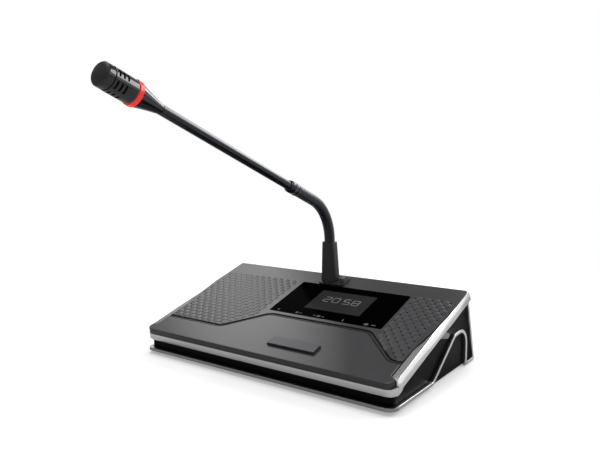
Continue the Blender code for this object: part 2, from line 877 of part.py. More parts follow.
def make_head(frame, stem_top):
    """Cone, light ring, slotted barrel, capsule and front cap along the stem's axis."""
    base = stem_top + gap
    cone_top = base + cone_length
    ring_low = cone_top + gap
    ring_high = ring_low + ring_length
    spigot_top = ring_high + gap + 2 * slot_width
    flare = [(0, spigot_top), (spigot_radius, spigot_top), (spigot_radius, cone_top),
             (head_radius, cone_top)]
    for share, swell in cone_shares:
        wide = stem_radius + (head_radius - stem_radius) * swell
        flare.append((wide, base + cone_length * share))
    flare += [(stem_radius, base), (0, base)]
    smooth(turned("head_cone", flare, medium_steps, gloss_black, frame))
    bore = spigot_radius + gap
    outer = head_radius + ring_proud
    led_ring = [(outer, ring_high), (outer, ring_low), (bore, ring_low), (bore, ring_high)]
    smooth(turned("light_ring", led_ring, fine_steps, red_lens, frame))
    low = ring_high + gap
    high = low + barrel_length
    inner = head_radius - barrel_wall
    barrel_profile = [(head_radius, high), (head_radius, low), (bore, low), (bore, low + 2 * slot_width),
                      (inner, low + 2 * slot_width), (inner, high)]
    barrel = turned("head_barrel", barrel_profile, fine_steps, gloss_black, frame)
    for row in range(slot_rows):
        middle = low + slot_first + row * slot_pitch
        for index in range(slots_per_row):
            cut(barrel, slot_tool(frame, middle, index, inner))
    cap_low = high + gap
    cap_top = cap_low + cap_length
    flat = cap_radius - cap_round
    plug = inner - gap
    cap = [(0, cap_top + cap_dome), (flat / 2, cap_top + cap_dome * cap_crown_share), (flat, cap_top),
           (cap_radius - cap_round / 3, cap_top - cap_round / 3), (cap_radius, cap_top - cap_round),
           (cap_radius, cap_low), (plug, cap_low), (plug, cap_low - cap_round), (0, cap_low - cap_round)]
    smooth(turned("front_cap", cap, fine_steps, grille_black, frame))
    capsule_top = cap_low - cap_round - gap
    rod("mic_capsule", plug, capsule_top - capsule_length, capsule_top, medium_steps, steel, frame)
    return cap_top + cap_dome


def slot_tool(frame, middle, index, inner):
    """A curved block that cuts one slot in the barrel's wall."""
    spread = 2 * math.pi / slots_per_row
    reach = head_radius + overrun
    low = inner - overrun / 2
    steps = 4
    arc = spread * slot_arc_share
    angles = [(index + 0.5) * spread + arc * (step / steps - 0.5) for step in range(steps + 1)]
    outline = [(reach * math.cos(angle), reach * math.sin(angle)) for angle in angles]
    outline += [(low * math.cos(angle), low * math.sin(angle)) for angle in reversed(angles)]
    return prism("slot_tool", outline, middle - slot_width / 2, middle + slot_width / 2, None, frame)


def side_place(item, x):
    """Turn a shape drawn in (y, z) so that its thickness runs along X."""
    item.rotation_euler = (math.radians(90), 0, math.radians(90))
    item.location = (x, 0, 0)
    return item


def ribbon_path():
    """Centre line of a side ribbon in (y, z): sill, arch, rear leg, foot and rear edge."""
    half = ribbon_thick / 2
    sill = ribbon_low + half
    foot = ribbon_foot_height + half
    edge_low = rear_y(foot) - half
    edge_top = rear_y(rear_strip_top) - half
    corners = [
        (ribbon_split_y + gap / 2, sill, 0),
        (arch_start_y, sill, arch_start_bend),
        (arch_shoulder_y, arch_shoulder_height, arch_apex_bend),
        (arch_leg_y, arch_apex_height, arch_leg_bend),
        (arch_leg_y, foot, 0),
        (edge_low, foot, 0),
        (edge_top, rear_strip_top, 0),
    ]
    return rounded(corners)


def make_side(side, label):
    """A silver side ribbon and the black cheek behind it, for x on one side."""
    path = ribbon_path()
    half = ribbon_thick / 2
    outline = offset_path(path, half) + offset_path(path, -half)[::-1]
    low, high = sorted((side * (cheek_outer + gap), side * ribbon_outer))
    side_place(prism(f"side_ribbon_{label}", outline, low, high, silver, unit), 0)
    under_frame = frame_flange_drop + gap
    front = ribbon_split_y + gap / 2
    back_low = rear_y(cheek_low)
    lean = math.tan(rear_lean)
    back_high = (deck_mid_height - under_frame / math.cos(deck_angle) + deck_slope * rear_foot_reach)
    back_high /= 1 + deck_slope * lean
    cheek = [(front, floor_clearance), (arch_start_y, floor_clearance),
             (arch_start_y + ribbon_thick, cheek_low), (back_low, cheek_low),
             (rear_y(back_high), back_high), (front, below_deck(front, under_frame))]
    low, high = sorted((side * (tray_half + gap), side * cheek_outer))
    side_place(prism(f"side_cheek_{label}", cheek, low, high, black_plastic, unit), 0)


def make_front_bar():
    """Silver bar along the bottom of the front, wrapped round both corners."""
    end = ribbon_split_y - gap / 2
    outer = [(ribbon_outer, end, 0), (ribbon_outer, ribbon_front_y, ribbon_corner),
             (-ribbon_outer, ribbon_front_y, ribbon_corner), (-ribbon_outer, end, 0)]
    inner_x = cheek_outer + gap
    inner_y = tray_front_y - gap
    inner = [(-inner_x, end, 0), (-inner_x, inner_y, tray_nose_corner),
             (inner_x, inner_y, tray_nose_corner), (inner_x, end, 0)]
    prism("front_ribbon", rounded(outer + inner), ribbon_low, ribbon_high, silver, unit)


def tray_profile(inset, rise):
    """Side view of the tray in (y, z), moved in by inset; the rear panel closes its back."""
    lift = floor_clearance + inset
    depth = frame_flange_drop + gap - rise
    back_gap = panel_thick / math.cos(rear_lean) + gap - 2 * inset
    front = tray_front_y + inset
    top_y = rear_y(deck_back_height) - back_gap
    points = [(front, lift), (rear_y(lift) - back_gap, lift), (top_y, below_deck(top_y, depth)),
              (front, below_deck(front, depth))]
    return [Vector(point) for point in points]


def make_tray():
    """Open-topped black tray; the rear is closed by the rear panel."""
    tray = side_place(prism("base_tray", tray_profile(0, 0), -tray_half, tray_half, black_plastic, unit), 0)
    end = ribbon_split_y - gap / 2
    nose = [(cheek_outer, end, 0), (cheek_outer, tray_front_y, tray_nose_corner),
            (-cheek_outer, tray_front_y, tray_nose_corner), (-cheek_outer, end, 0)]
    nose_block = prism("tray_nose", rounded(nose), floor_clearance, deck_back_height, None, unit)
    reach = unit_width
    nose_roof = frame_front_drop + gap
    cut(nose_block, box("nose_trim", (-reach, -reach, -nose_roof), (reach, reach, reach), None, deck_frame))
    join(tray, nose_block)
    hollow = [Vector(point) for point in tray_profile(tray_wall, overrun * 2)]
    cut(tray, side_place(prism("tray_hollow", hollow, -tray_half + tray_wall, tray_half - tray_wall,
                               None, unit), 0))
    post_roof = cover_wall + gap
    for x in (-post_x, post_x):
        for y in (post_front_y, post_back_y):
            post = rod("tray_post", post_radius, floor_clearance + tray_wall / 2, deck_back_height,
                       small_steps, None, unit)
            post.location = (x, y, 0)
            cut(post, box("post_top_tool", (-reach, -reach, -post_roof), (reach, reach, reach), None,
                          deck_frame))
            join(tray, post)
    for x in (-1, 1):
        for y in (-1, 1):
            post = rod("board_post", main_board_post_radius, floor_clearance + tray_wall / 2,
                       main_board_height - gap, small_steps, None, unit)
            post.location = (x * (main_board_width / 2 - main_board_post_inset),
                             main_board_y + y * (main_board_length / 2 - main_board_post_inset), 0)
            join(tray, post)
    for x in (-post_x, post_x):
        for y in (post_front_y, post_back_y):
            hole = rod("screw_drill", screw_hole_radius, -overrun,
                       floor_clearance + screw_head_height + screw_length + gap, small_steps, None, unit)
            hole.location = (x, y, 0)
            hole.rotation_euler = (0, 0, cutter_turn)
            cut(tray, hole)
            sink = rod("screw_sink", screw_head_radius + gap, -overrun, floor_clearance + screw_head_height,
                       small_steps, None, unit)
            sink.location = (x, y, 0)
            sink.rotation_euler = (0, 0, cutter_turn)
            cut(tray, sink)
    return tray


def make_rear_panel():
    """Sloping rear wall, drawn upright and leaned forward about its foot."""
    low = floor_clearance + gap
    high = rear_strip_top
    frame = add_empty("rear_frame", (0, rear_y(0), 0), (rear_lean, 0, 0), parent=unit)
    length = high / math.cos(rear_lean)
    panel = box("rear_panel", (-tray_half, -panel_thick, low / math.cos(rear_lean)),
                (tray_half, 0, length), black_plastic, frame)
    reach = unit_width
    cut(panel, box("panel_top_tool", (-reach, -reach, -panel_top_drop - gap), (reach, reach, reach), None,
                   deck_frame))
    cut(panel, box("panel_foot_tool", (-reach, -reach, -reach), (reach, reach, low), None, unit))
    return panel


def make_connectors(panel):
    """Two round data sockets and a phone jack on the main board, through the rear panel."""
    base = main_board_height + board_thick + gap
    middle = base + din_body / 2
    front_limit = rear_y(base + din_body) - panel_thick / math.cos(rear_lean) - gap
    for label, x in (("left", -din_x), ("right", din_x)):
        body = box(f"data_socket_{label}", (x - din_body / 2, front_limit - din_body_length, base),
                   (x + din_body / 2, front_limit, base + din_body), black_plastic, unit)
        nose_end = rear_y(middle) + din_nose_proud
        frame = add_empty(f"data_socket_{label}_axis", (x, nose_end, middle),
                          (math.radians(-90), 0, 0), parent=unit)
        nose_length = nose_end - front_limit
        nose = [(0, 0), (din_groove_inner, 0), (din_groove_inner, -din_groove_depth),
                (din_groove_outer, -din_groove_depth), (din_groove_outer, 0), (din_nose_radius, 0),
                (din_nose_radius, -nose_length - overrun), (0, -nose_length - overrun)]
        join(body, turned("data_nose", nose, medium_steps, None, frame))
        for index in range(din_pins):
            angle = din_first_pin - din_pin_sweep * index / (din_pins - 1)
            pin = rod("data_pin", din_pin_radius, -din_groove_depth, overrun, hole_steps, None, frame)
            pin.location = (din_pin_ring * math.cos(angle), din_pin_ring * math.sin(angle), 0)
            pin.rotation_euler = (0, 0, cutter_turn)
            cut(body, pin)
        cut(panel, rod("data_hole", din_nose_radius + gap, -nose_length - overrun, overrun * 2,
                       medium_steps, None, frame))
    middle = base + jack_body / 2
    front_limit = rear_y(base + jack_body) - panel_thick / math.cos(rear_lean) - gap
    jack = box("phone_jack", (jack_x - jack_body / 2, front_limit - din_body_length, base),
               (jack_x + jack_body / 2, front_limit, base + jack_body), black_plastic, unit)
    nose_end = rear_y(middle) + din_nose_proud
    frame = add_empty("phone_jack_axis", (jack_x, nose_end, middle), (math.radians(-90), 0, 0), parent=unit)
    nose_length = nose_end - front_limit
    join(jack, rod("jack_nose", jack_nose_radius, -nose_length - overrun, 0, small_steps, None, frame))
    cut(jack, rod("jack_bore", jack_bore_radius, -jack_bore_depth, overrun, small_steps, None, frame))
    cut(panel, rod("jack_hole", jack_nose_radius + gap, -nose_length - overrun, overrun * 2, small_steps,
                   None, frame))


def make_inside():
    """Ballast plate and main board on the tray floor."""
    floor_top = floor_clearance + tray_wall
    half = (ballast_width / 2, ballast_length / 2)
    box("ballast_plate", (-half[0], ballast_y - half[1], floor_top + gap),
        (half[0], ballast_y + half[1], floor_top + gap + ballast_thick), steel, unit)
    half = (main_board_width / 2, main_board_length / 2)
    box("main_board", (-half[0], main_board_y - half[1], main_board_height),
        (half[0], main_board_y + half[1], main_board_height + board_thick), board_green, unit)


def make_speaker():
    """A small loudspeaker hung under the cover: basket, paper cone and magnet."""
    frame = add_empty("speaker_axis", (speaker_x, speaker_v, -cover_wall - gap), parent=deck_frame)
    radius = speaker_radius
    wall = speaker_rim_thick
    throat = speaker_magnet_radius - 2 * wall
    mouth = radius - 3 * wall
    basket = [(radius, 0), (radius, -wall), (radius - 2 * wall, -wall), (throat + wall, -speaker_depth),
              (throat, -speaker_depth), (mouth, -wall), (mouth, 0)]
    smooth(turned("speaker_basket", basket, medium_steps, steel, frame))
    sunk = (speaker_cone_depth - wall) / (speaker_depth - wall)
    bottom = mouth - (mouth - throat) * sunk - 2 * gap
    rim = mouth - gap
    paper = speaker_paper
    cone = [(0, paper - speaker_cone_depth), (bottom - paper, paper - speaker_cone_depth),
            (rim - paper, -gap), (rim, -gap), (rim, gap - wall), (bottom, -speaker_cone_depth),
            (0, -speaker_cone_depth)]
    smooth(turned("speaker_cone", cone, medium_steps, paper_grey, frame))
    magnet_top = -speaker_depth - gap
    rod("speaker_magnet", speaker_magnet_radius, magnet_top - speaker_magnet_length, magnet_top,
        medium_steps, steel, frame)


def make_ribbon_cable(board_low):
    """Flat cable from the display board down to the main board."""
    top = Vector((main_board_y - main_board_length / 4, main_board_height + board_thick + gap))
    high = Vector((top.x, below_deck(top.x, -board_low + gap)))
    mid = (top + high) / 2
    sag = ribbon_cable_width / 2
    corners = [(top.x, top.y, 0), (top.x, mid.y - sag / 2, sag / 4), (top.x - sag, mid.y, sag / 4),
               (top.x, mid.y + sag / 2, sag / 4), (high.x, high.y, 0)]
    path = rounded(corners)
    half = ribbon_cable_thick / 2
    outline = offset_path(path, half) + offset_path(path, -half)[::-1]
    cable = prism("display_cable", outline, -ribbon_cable_width / 2, ribbon_cable_width / 2,
                  cable_grey, unit)
    side_place(cable, window_x)


def make_feet_and_screws():
    for label, x, y in (("front_left", -foot_x, foot_front_y), ("front_right", foot_x, foot_front_y),
                        ("rear_left", -foot_x, foot_back_y), ("rear_right", foot_x, foot_back_y)):
        top = floor_clearance - gap
        profile = [(0, top), (foot_radius, top), (foot_radius, foot_round),
                   (foot_radius - foot_round, 0), (0, 0)]
        foot = smooth(turned(f"foot_{label}", profile, medium_steps, rubber_black, unit))
        foot.location = (x, y, 0)
    for label, x, y in (("front_left", -post_x, post_front_y), ("front_right", post_x, post_front_y),
                        ("rear_left", -post_x, post_back_y), ("rear_right", post_x, post_back_y)):
        low = floor_clearance + gap
        neck = low + screw_head_height - 2 * gap
        profile = [(0, neck + screw_length), (screw_radius, neck + screw_length), (screw_radius, neck),
                   (screw_head_radius, neck), (screw_head_radius, low), (0, low)]
        screw = turned(f"screw_{label}", profile, small_steps, steel, unit)
        screw.location = (x, y, 0)


def solid_parts():
    return [item for item in parts.objects if item.type == "MESH" and not item.hide_render]


def set_origin():
    """Move the unit so that the origin lies under the middle of its box, on the table."""
    bpy.context.view_layer.update()
    depsgraph = bpy.context.evaluated_depsgraph_get()
    low = Vector((math.inf, math.inf, math.inf))
    high = -low
    for item in solid_parts():
        evaluated = item.evaluated_get(depsgraph)
        for corner in evaluated.bound_box:
            place = evaluated.matrix_world @ Vector(corner)
            low = Vector(map(min, low, place))
            high = Vector(map(max, high, place))
    return low, high


clear_scene()
parts = bpy.data.collections.new("conference_delegate_unit")
cutters = bpy.data.collections.new("cutters")
bpy.context.scene.collection.children.link(parts)
bpy.context.scene.collection.children.link(cutters)

cover_plastic = make_material("dark_grey_plastic", (0.075, 0.077, 0.08), 0.5)
key_plastic = make_material("key_plastic", (0.06, 0.062, 0.065), 0.45)
black_plastic = make_material("black_plastic", (0.015, 0.015, 0.017), 0.45)
gloss_black = make_material("gloss_black", (0.008, 0.008, 0.01), 0.08)
silver = make_material("silver_trim", (0.68, 0.68, 0.69), 0.25, 1.0)
steel = make_material("plain_steel", (0.5, 0.5, 0.51), 0.4, 1.0)
brass_metal = make_material("brass", (0.6, 0.5, 0.3), 0.35, 1.0)
board_green = make_material("circuit_board", (0.02, 0.12, 0.05), 0.5)
lcd_grey = make_material("lcd", (0.05, 0.05, 0.055), 0.3)
neck_black = make_material("neck_black", (0.025, 0.026, 0.035), 0.4)
rubber_black = make_material("black_rubber", (0.02, 0.02, 0.02), 0.7)
red_lens = make_material("red_lens", (0.75, 0.03, 0.02), 0.25)
grille_black = make_material("grille_black", (0.03, 0.03, 0.032), 0.65)
paper_grey = make_material("paper_cone", (0.08, 0.08, 0.08), 0.8)
cable_grey = make_material("flat_cable", (0.4, 0.4, 0.42), 0.5)

unit = add_empty("unit", (0, 0, 0))
deck_frame = add_empty("deck_frame", (0, 0, deck_mid_height), (deck_angle, 0, 0), parent=unit)

cover_part = make_cover()
make_trim_frame()
display_low = make_display()
talk_board_part, talk_board_high = make_talk_button()
make_talk_posts(cover_part, talk_board_high)
socket_bottom = make_mic_mount()
mic_axis_frame = make_boot(socket_bottom)
neck_end_place, neck_end_turn = make_neck(mic_axis_frame)
stem_axis_frame, stem_end = make_stem(neck_end_place)
make_head(stem_axis_frame, stem_end)
for side_sign, side_label in ((-1, "left"), (1, "right")):
    make_side(side_sign, side_label)
make_front_bar()
make_tray()
rear_panel_part = make_rear_panel()
make_connectors(rear_panel_part)
make_inside()
make_speaker()
make_ribbon_cable(display_low)
make_feet_and_screws()
lowest, highest = set_origin()
unit.location.y = -(lowest.y + highest.y) / 2
unit.location.x = -(lowest.x + highest.x) / 2
unit.location.z = -lowest.z
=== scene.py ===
import math
import bpy
from mathutils import Matrix, Vector


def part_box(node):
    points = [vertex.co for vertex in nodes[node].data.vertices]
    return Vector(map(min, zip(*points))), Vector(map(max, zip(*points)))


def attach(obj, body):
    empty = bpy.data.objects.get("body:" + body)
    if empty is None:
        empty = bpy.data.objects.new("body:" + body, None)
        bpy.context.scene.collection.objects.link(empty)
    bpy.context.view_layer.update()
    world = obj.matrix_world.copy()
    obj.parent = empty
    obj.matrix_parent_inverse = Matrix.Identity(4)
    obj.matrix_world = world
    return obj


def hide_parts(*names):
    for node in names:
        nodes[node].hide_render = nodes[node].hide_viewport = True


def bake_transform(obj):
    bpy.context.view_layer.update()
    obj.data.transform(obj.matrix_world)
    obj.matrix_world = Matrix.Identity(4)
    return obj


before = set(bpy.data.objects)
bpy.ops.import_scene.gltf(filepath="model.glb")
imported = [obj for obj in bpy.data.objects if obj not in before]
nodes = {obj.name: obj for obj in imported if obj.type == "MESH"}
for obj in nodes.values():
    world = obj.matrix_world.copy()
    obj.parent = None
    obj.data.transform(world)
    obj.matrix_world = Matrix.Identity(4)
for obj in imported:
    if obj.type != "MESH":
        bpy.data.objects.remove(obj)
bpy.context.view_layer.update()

print("frame loaded,", len(nodes), "nodes")

# the deck plane: its middle, its turn about the x axis and the direction out of it
deckMiddle = Vector((0.0, 0.047914, 0.037485))
deckTurn = math.radians(17.36840)
outOfDeck = Vector((0.0, -math.sin(deckTurn), math.cos(deckTurn)))
deckFrame = Matrix.Translation(deckMiddle) @ Matrix.Rotation(deckTurn, 4, "X")


# finishes: each has a mottled colour, an uneven sheen and a fine raised grain
grainPlan = {"cloudScale": 90.0, "cloudDetail": 3.0, "cloudRoughness": 0.6, "cloudRange": (0.3, 0.7),
             "detail": 2.0, "roughness": 0.5}
lookDefaults = {"metallic": 0.0, "specular": 0.5, "spread": 0.06, "roughSpread": 0.04, "grain": 0.0004,
                "bump": 0.15, "depth": 0.00005}


def addNode(material, kind, place, **values):
    node = material.node_tree.nodes.new(kind)
    node.location = place
    for name, value in values.items():
        if name in node.inputs:
            node.inputs[name].default_value = value
        else:
            setattr(node, name, value)
    return node


def grainedSurface(name, ownLook):
    look = {**lookDefaults, **ownLook}
    colour, spread = look["colour"], look["spread"]
    roughness, roughSpread = look["roughness"], look["roughSpread"]
    material = bpy.data.materials.new(name)
    material.use_nodes = True
    shader = material.node_tree.nodes["Principled BSDF"]
    shader.inputs["Base Color"].default_value = (*colour, 1.0)
    shader.inputs["Roughness"].default_value = roughness
    shader.inputs["Metallic"].default_value = look["metallic"]
    shader.inputs["Specular IOR Level"].default_value = look["specular"]
    links = material.node_tree.links
    place = addNode(material, "ShaderNodeTexCoord", (-1100, 0))
    cloud = addNode(material, "ShaderNodeTexNoise", (-900, 200), Scale=grainPlan["cloudScale"],
                    Detail=grainPlan["cloudDetail"], Roughness=grainPlan["cloudRoughness"])
    grain = addNode(material, "ShaderNodeTexNoise", (-900, -200), Scale=1.0 / look["grain"],
                    Detail=grainPlan["detail"], Roughness=grainPlan["roughness"])
    for node in (cloud, grain):
        links.new(place.outputs["Object"], node.inputs["Vector"])
    ramp = addNode(material, "ShaderNodeValToRGB", (-600, 260))
    ends = zip(ramp.color_ramp.elements, grainPlan["cloudRange"], (1.0 - spread, 1.0 + spread))
    for element, position, factor in ends:
        element.position = position
        element.color = (*[part * factor for part in colour], 1.0)
    links.new(cloud.outputs["Fac"], ramp.inputs["Fac"])
    links.new(ramp.outputs["Color"], shader.inputs["Base Color"])
    sheen = addNode(material, "ShaderNodeMapRange", (-600, 0))
    sheen.inputs["To Min"].default_value = roughness - roughSpread
    sheen.inputs["To Max"].default_value = roughness + roughSpread
    links.new(cloud.outputs["Fac"], sheen.inputs["Value"])
    links.new(sheen.outputs["Result"], shader.inputs["Roughness"])
    raised = addNode(material, "ShaderNodeBump", (-300, -200), Strength=look["bump"],
                     Distance=look["depth"])
    links.new(grain.outputs["Fac"], raised.inputs["Height"])
    links.new(raised.outputs["Normal"], shader.inputs["Normal"])
    return material


surfaceLooks = {
    "coverPlastic": {"colour": (0.03, 0.03, 0.033), "roughness": 0.29, "roughSpread": 0.012,
                     "grain": 0.00035, "bump": 0.2},
    # painted shade: a near-black surface for the walls of the pits, the step, the barrel's slots and the
    # screws' slots
    "paintedRecessShade": {"colour": (0.004, 0.004, 0.0045), "roughness": 0.6, "specular": 0.05, "bump": 0.1},
    "keyPlastic": {"colour": (0.04, 0.04, 0.05), "roughness": 0.36, "grain": 0.0003, "bump": 0.12},
    "releaseGrey": {"colour": (0.1, 0.1, 0.102), "roughness": 0.4, "grain": 0.0003, "bump": 0.12},
    "blackPlastic": {"colour": (0.0035, 0.0035, 0.004), "roughness": 0.35, "specular": 0.045, "bump": 0.15},
    "silverTrim": {"colour": (0.84, 0.84, 0.85), "roughness": 0.18, "metallic": 1.0, "spread": 0.02,
                   "roughSpread": 0.03, "bump": 0.03, "grain": 0.002},
    # painted shade: a darker copy of the silver for the front ribbon, which lies in shade under the trim
    "silverInPaintedShade": {"colour": (0.4, 0.4, 0.405), "roughness": 0.3, "metallic": 1.0, "spread": 0.03,
                   "roughSpread": 0.02, "bump": 0.03, "grain": 0.002},
    "windowGloss": {"colour": (0.0006, 0.0006, 0.0006), "roughness": 0.06, "specular": 0.001,
                    "roughSpread": 0.01, "bump": 0.01, "grain": 0.01},
    "displayGlass": {"colour": (0.03, 0.03, 0.031), "roughness": 0.1, "specular": 0.004,
                     "roughSpread": 0.02, "bump": 0.01, "grain": 0.01},
    "boardGreen": {"colour": (0.01, 0.09, 0.035), "roughness": 0.4, "grain": 0.0006},
    "plainSteel": {"colour": (0.5, 0.5, 0.51), "roughness": 0.35, "metallic": 1.0, "grain": 0.0003},
    "turnedBrass": {"colour": (0.6, 0.45, 0.2), "roughness": 0.3, "metallic": 1.0, "roughSpread": 0.02,
                    "grain": 0.0002},
    "neckCoating": {"colour": (0.009, 0.0105, 0.02), "roughness": 0.3, "roughSpread": 0.02,
                    "specular": 0.55, "grain": 0.0003, "bump": 0.1},
    "stemLacquer": {"colour": (0.004, 0.0055, 0.011), "roughness": 0.16, "specular": 0.6,
                    "grain": 0.0006, "bump": 0.03},
    "headLacquer": {"colour": (0.003, 0.0038, 0.0065), "roughness": 0.12, "specular": 0.75,
                    "grain": 0.0006, "bump": 0.03},
    "redLens": {"colour": (0.75, 0.03, 0.02), "roughness": 0.2, "spread": 0.05, "bump": 0.04},
    # the cap's dark mesh; on the capsule and the lining inside the head, the same dark colour is painted
    # shade
    "capMeshAndInnerShade": {"colour": (0.022, 0.022, 0.024), "roughness": 0.55, "specular": 0.5, "grain": 0.0004,
                "bump": 0.5, "depth": 0.0001},
    "bootRubber": {"colour": (0.022, 0.022, 0.023), "roughness": 0.42, "specular": 0.45,
                   "grain": 0.0003, "bump": 0.3},
    "footRubber": {"colour": (0.014, 0.014, 0.014), "roughness": 0.75, "grain": 0.0004, "bump": 0.4},
    "paperCone": {"colour": (0.05, 0.05, 0.05), "roughness": 0.85, "grain": 0.0006, "bump": 0.5},
    "cableGrey": {"colour": (0.35, 0.35, 0.37), "roughness": 0.5, "grain": 0.0012, "bump": 0.2},
    # painted shade: a satin grey that stands for the silver trim's darker reflection on its ledge and low
    # on its sides
    "trimPaintedShade": {"colour": (0.24, 0.24, 0.245), "roughness": 0.4, "metallic": 0.5, "grain": 0.0004,
                  "bump": 0.08},
    "digitGlow": {"colour": (0.2, 0.2, 0.19), "roughness": 0.6, "specular": 0.05, "bump": 0.02},
    "inkPale": {"colour": (0.13, 0.13, 0.13), "roughness": 0.6, "specular": 0.05, "bump": 0.02},
}
surfaces = {name: grainedSurface(name, look) for name, look in surfaceLooks.items()}
glowPlan = {"colour": (1.0, 0.05, 0.03, 1.0), "strength": 0.25}
redGlow = surfaces["redLens"].node_tree.nodes["Principled BSDF"]
redGlow.inputs["Emission Color"].default_value = glowPlan["colour"]
redGlow.inputs["Emission Strength"].default_value = glowPlan["strength"]
print("surfaces made")

nodeFinishes = {
    "coverPlastic": ["top_cover", "socket_collar"],
    "keyPlastic": ["talk_button"],
    "releaseGrey": ["release_button"],
    "blackPlastic": ["talk_switch", "base_tray", "rear_panel", "side_cheek_left",
                     "side_cheek_right", "data_socket_left", "data_socket_right", "phone_jack"],
    "silverTrim": ["trim_frame", "side_ribbon_left", "side_ribbon_right"],
    # the front ribbon gets the silver with painted shade
    "silverInPaintedShade": ["front_ribbon"],
    "windowGloss": ["display_window"],
    "displayGlass": ["lcd_module"],
    "boardGreen": ["display_board", "talk_board", "main_board"],
    "plainSteel": ["ballast_plate", "speaker_basket", "speaker_magnet", "screw_front_left",
                   "screw_front_right", "screw_rear_left", "screw_rear_right", "mic_plug"],
    "turnedBrass": ["mic_socket"],
    "neckCoating": ["neck_root", "neck_end"] + ["neck_link_%d" % index for index in range(1, 8)],
    "stemLacquer": ["neck_ferrule", "stem_tube"],
    "headLacquer": ["head_cone", "head_barrel"],
    "redLens": ["light_ring"],
    # the capsule inside the head is made dark as painted shade
    "capMeshAndInnerShade": ["front_cap", "mic_capsule"],
    "bootRubber": ["mic_boot"],
    "footRubber": ["foot_front_left", "foot_front_right", "foot_rear_left", "foot_rear_right"],
    "paperCone": ["speaker_cone"],
    "cableGrey": ["display_cable"],
}
for finish, names in nodeFinishes.items():
    for name in names:
        node = nodes[name]
        node.data.materials.clear()
        node.data.materials.append(surfaces[finish])
print("nodes finished")


# tools for shaping: points closer than the weld become one, and faces flatter than the angle become one
meshPlan = {"weld": 0.000002, "flatAngle": 0.6, "edgeAngle": 32.0, "smoothAngle": 35.0, "roundAngle": 60.0}


def clearSelection():
    if bpy.context.object and bpy.context.object.mode != "OBJECT":
        bpy.ops.object.mode_set(mode="OBJECT")
    bpy.ops.object.select_all(action="DESELECT")


def pick(*pieces):
    clearSelection()
    for piece in pieces:
        piece.select_set(True)
    bpy.context.view_layer.objects.active = pieces[0]


def settle():
    bpy.ops.object.transform_apply(location=True, rotation=True, scale=True)


# joins points that meet and turns the faces outward
def weld(piece):
    pick(piece)
    bpy.ops.object.mode_set(mode="EDIT")
    bpy.ops.mesh.select_all(action="SELECT")
    bpy.ops.mesh.remove_doubles(threshold=meshPlan["weld"])
    bpy.ops.mesh.normals_make_consistent(inside=False)
    bpy.ops.object.mode_set(mode="OBJECT")


# settles a piece at the origin, gives it its surface and hangs it on its body
def finishPiece(piece, name, finish, body, stands=(), smoothAngle=meshPlan["smoothAngle"], clean=True,
                keepSurfaces=False):
    pick(piece)
    settle()
    if clean:
        weld(piece)
    if smoothAngle:
        bpy.ops.object.shade_smooth_by_angle(angle=math.radians(smoothAngle))
    piece.name = name
    piece.data.name = name
    if not keepSurfaces:
        piece.data.materials.clear()
        piece.data.materials.append(surfaces[finish])
    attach(piece, body)
    if stands:
        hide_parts(*stands)


def applyModifier(piece, kind, **values):
    pick(piece)
    modifier = piece.modifiers.new(kind.lower(), kind)
    for name, value in values.items():
        setattr(modifier, name, value)
    bpy.ops.object.modifier_apply(modifier=modifier.name)


# a welded copy of a CAD node with its flat faces joined up
def copyOfNode(name):
    piece = nodes[name].copy()
    piece.data = nodes[name].data.copy()
    piece.parent = None
    piece.matrix_world = Matrix.Identity(4)
    bpy.context.collection.objects.link(piece)
    pick(piece)
    bpy.ops.object.mode_set(mode="EDIT")
    bpy.ops.mesh.select_all(action="SELECT")
    bpy.ops.mesh.remove_doubles(threshold=meshPlan["weld"])
    bpy.ops.mesh.dissolve_limited(angle_limit=math.radians(meshPlan["flatAngle"]))
    bpy.ops.object.mode_set(mode="OBJECT")
    return piece


def softenEdges(piece, width, segments=2):
    applyModifier(piece, "BEVEL", width=width, segments=segments, limit_method="ANGLE",
                  angle_limit=math.radians(meshPlan["edgeAngle"]), harden_normals=False,
                  miter_outer="MITER_ARC")


def refinedNode(node, name, finish, body, bevel, segments=2, smoothAngle=meshPlan["smoothAngle"]):
    piece = copyOfNode(node)
    softenEdges(piece, bevel, segments)
    finishPiece(piece, name, finish, body, (node,), smoothAngle, clean=False)
    applyModifier(piece, "WEIGHTED_NORMAL", keep_sharp=True)


# a circle is extruded from ring to ring, each ring a radius and a height
def turnedPiece(rings, steps, place, hollow=False):
    clearSelection()
    bpy.ops.mesh.primitive_circle_add(vertices=steps, radius=rings[0][0], location=(0, 0, rings[0][1]),
                                      fill_type="NOTHING" if hollow else "NGON")
    piece = bpy.context.object
    settle()
    bpy.ops.object.mode_set(mode="EDIT")
    bpy.ops.mesh.select_all(action="SELECT")
    for (radius, height), (nextRadius, nextHeight) in zip(rings, rings[1:]):
        bpy.ops.mesh.extrude_region_move(TRANSFORM_OT_translate={"value": (0, 0, nextHeight - height)})
        ratio = nextRadius / radius
        bpy.ops.transform.resize(value=(ratio, ratio, 1.0), center_override=(0, 0, nextHeight))
    if hollow:
        bpy.ops.mesh.select_all(action="DESELECT")
        bpy.ops.mesh.select_non_manifold()
        bpy.ops.mesh.bridge_edge_loops()
    bpy.ops.mesh.select_all(action="SELECT")
    bpy.ops.mesh.normals_make_consistent(inside=False)
    bpy.ops.object.mode_set(mode="OBJECT")
    piece.matrix_world = place
    settle()
    return piece


def meshFromCurve(name, curve):
    piece = bpy.data.objects.new(name, curve)
    bpy.context.collection.objects.link(piece)
    pick(piece)
    bpy.ops.object.convert(target="MESH")
    weld(piece)
    return piece


def joinAll(pieces):
    pick(*pieces)
    bpy.ops.object.join()
    return bpy.context.object


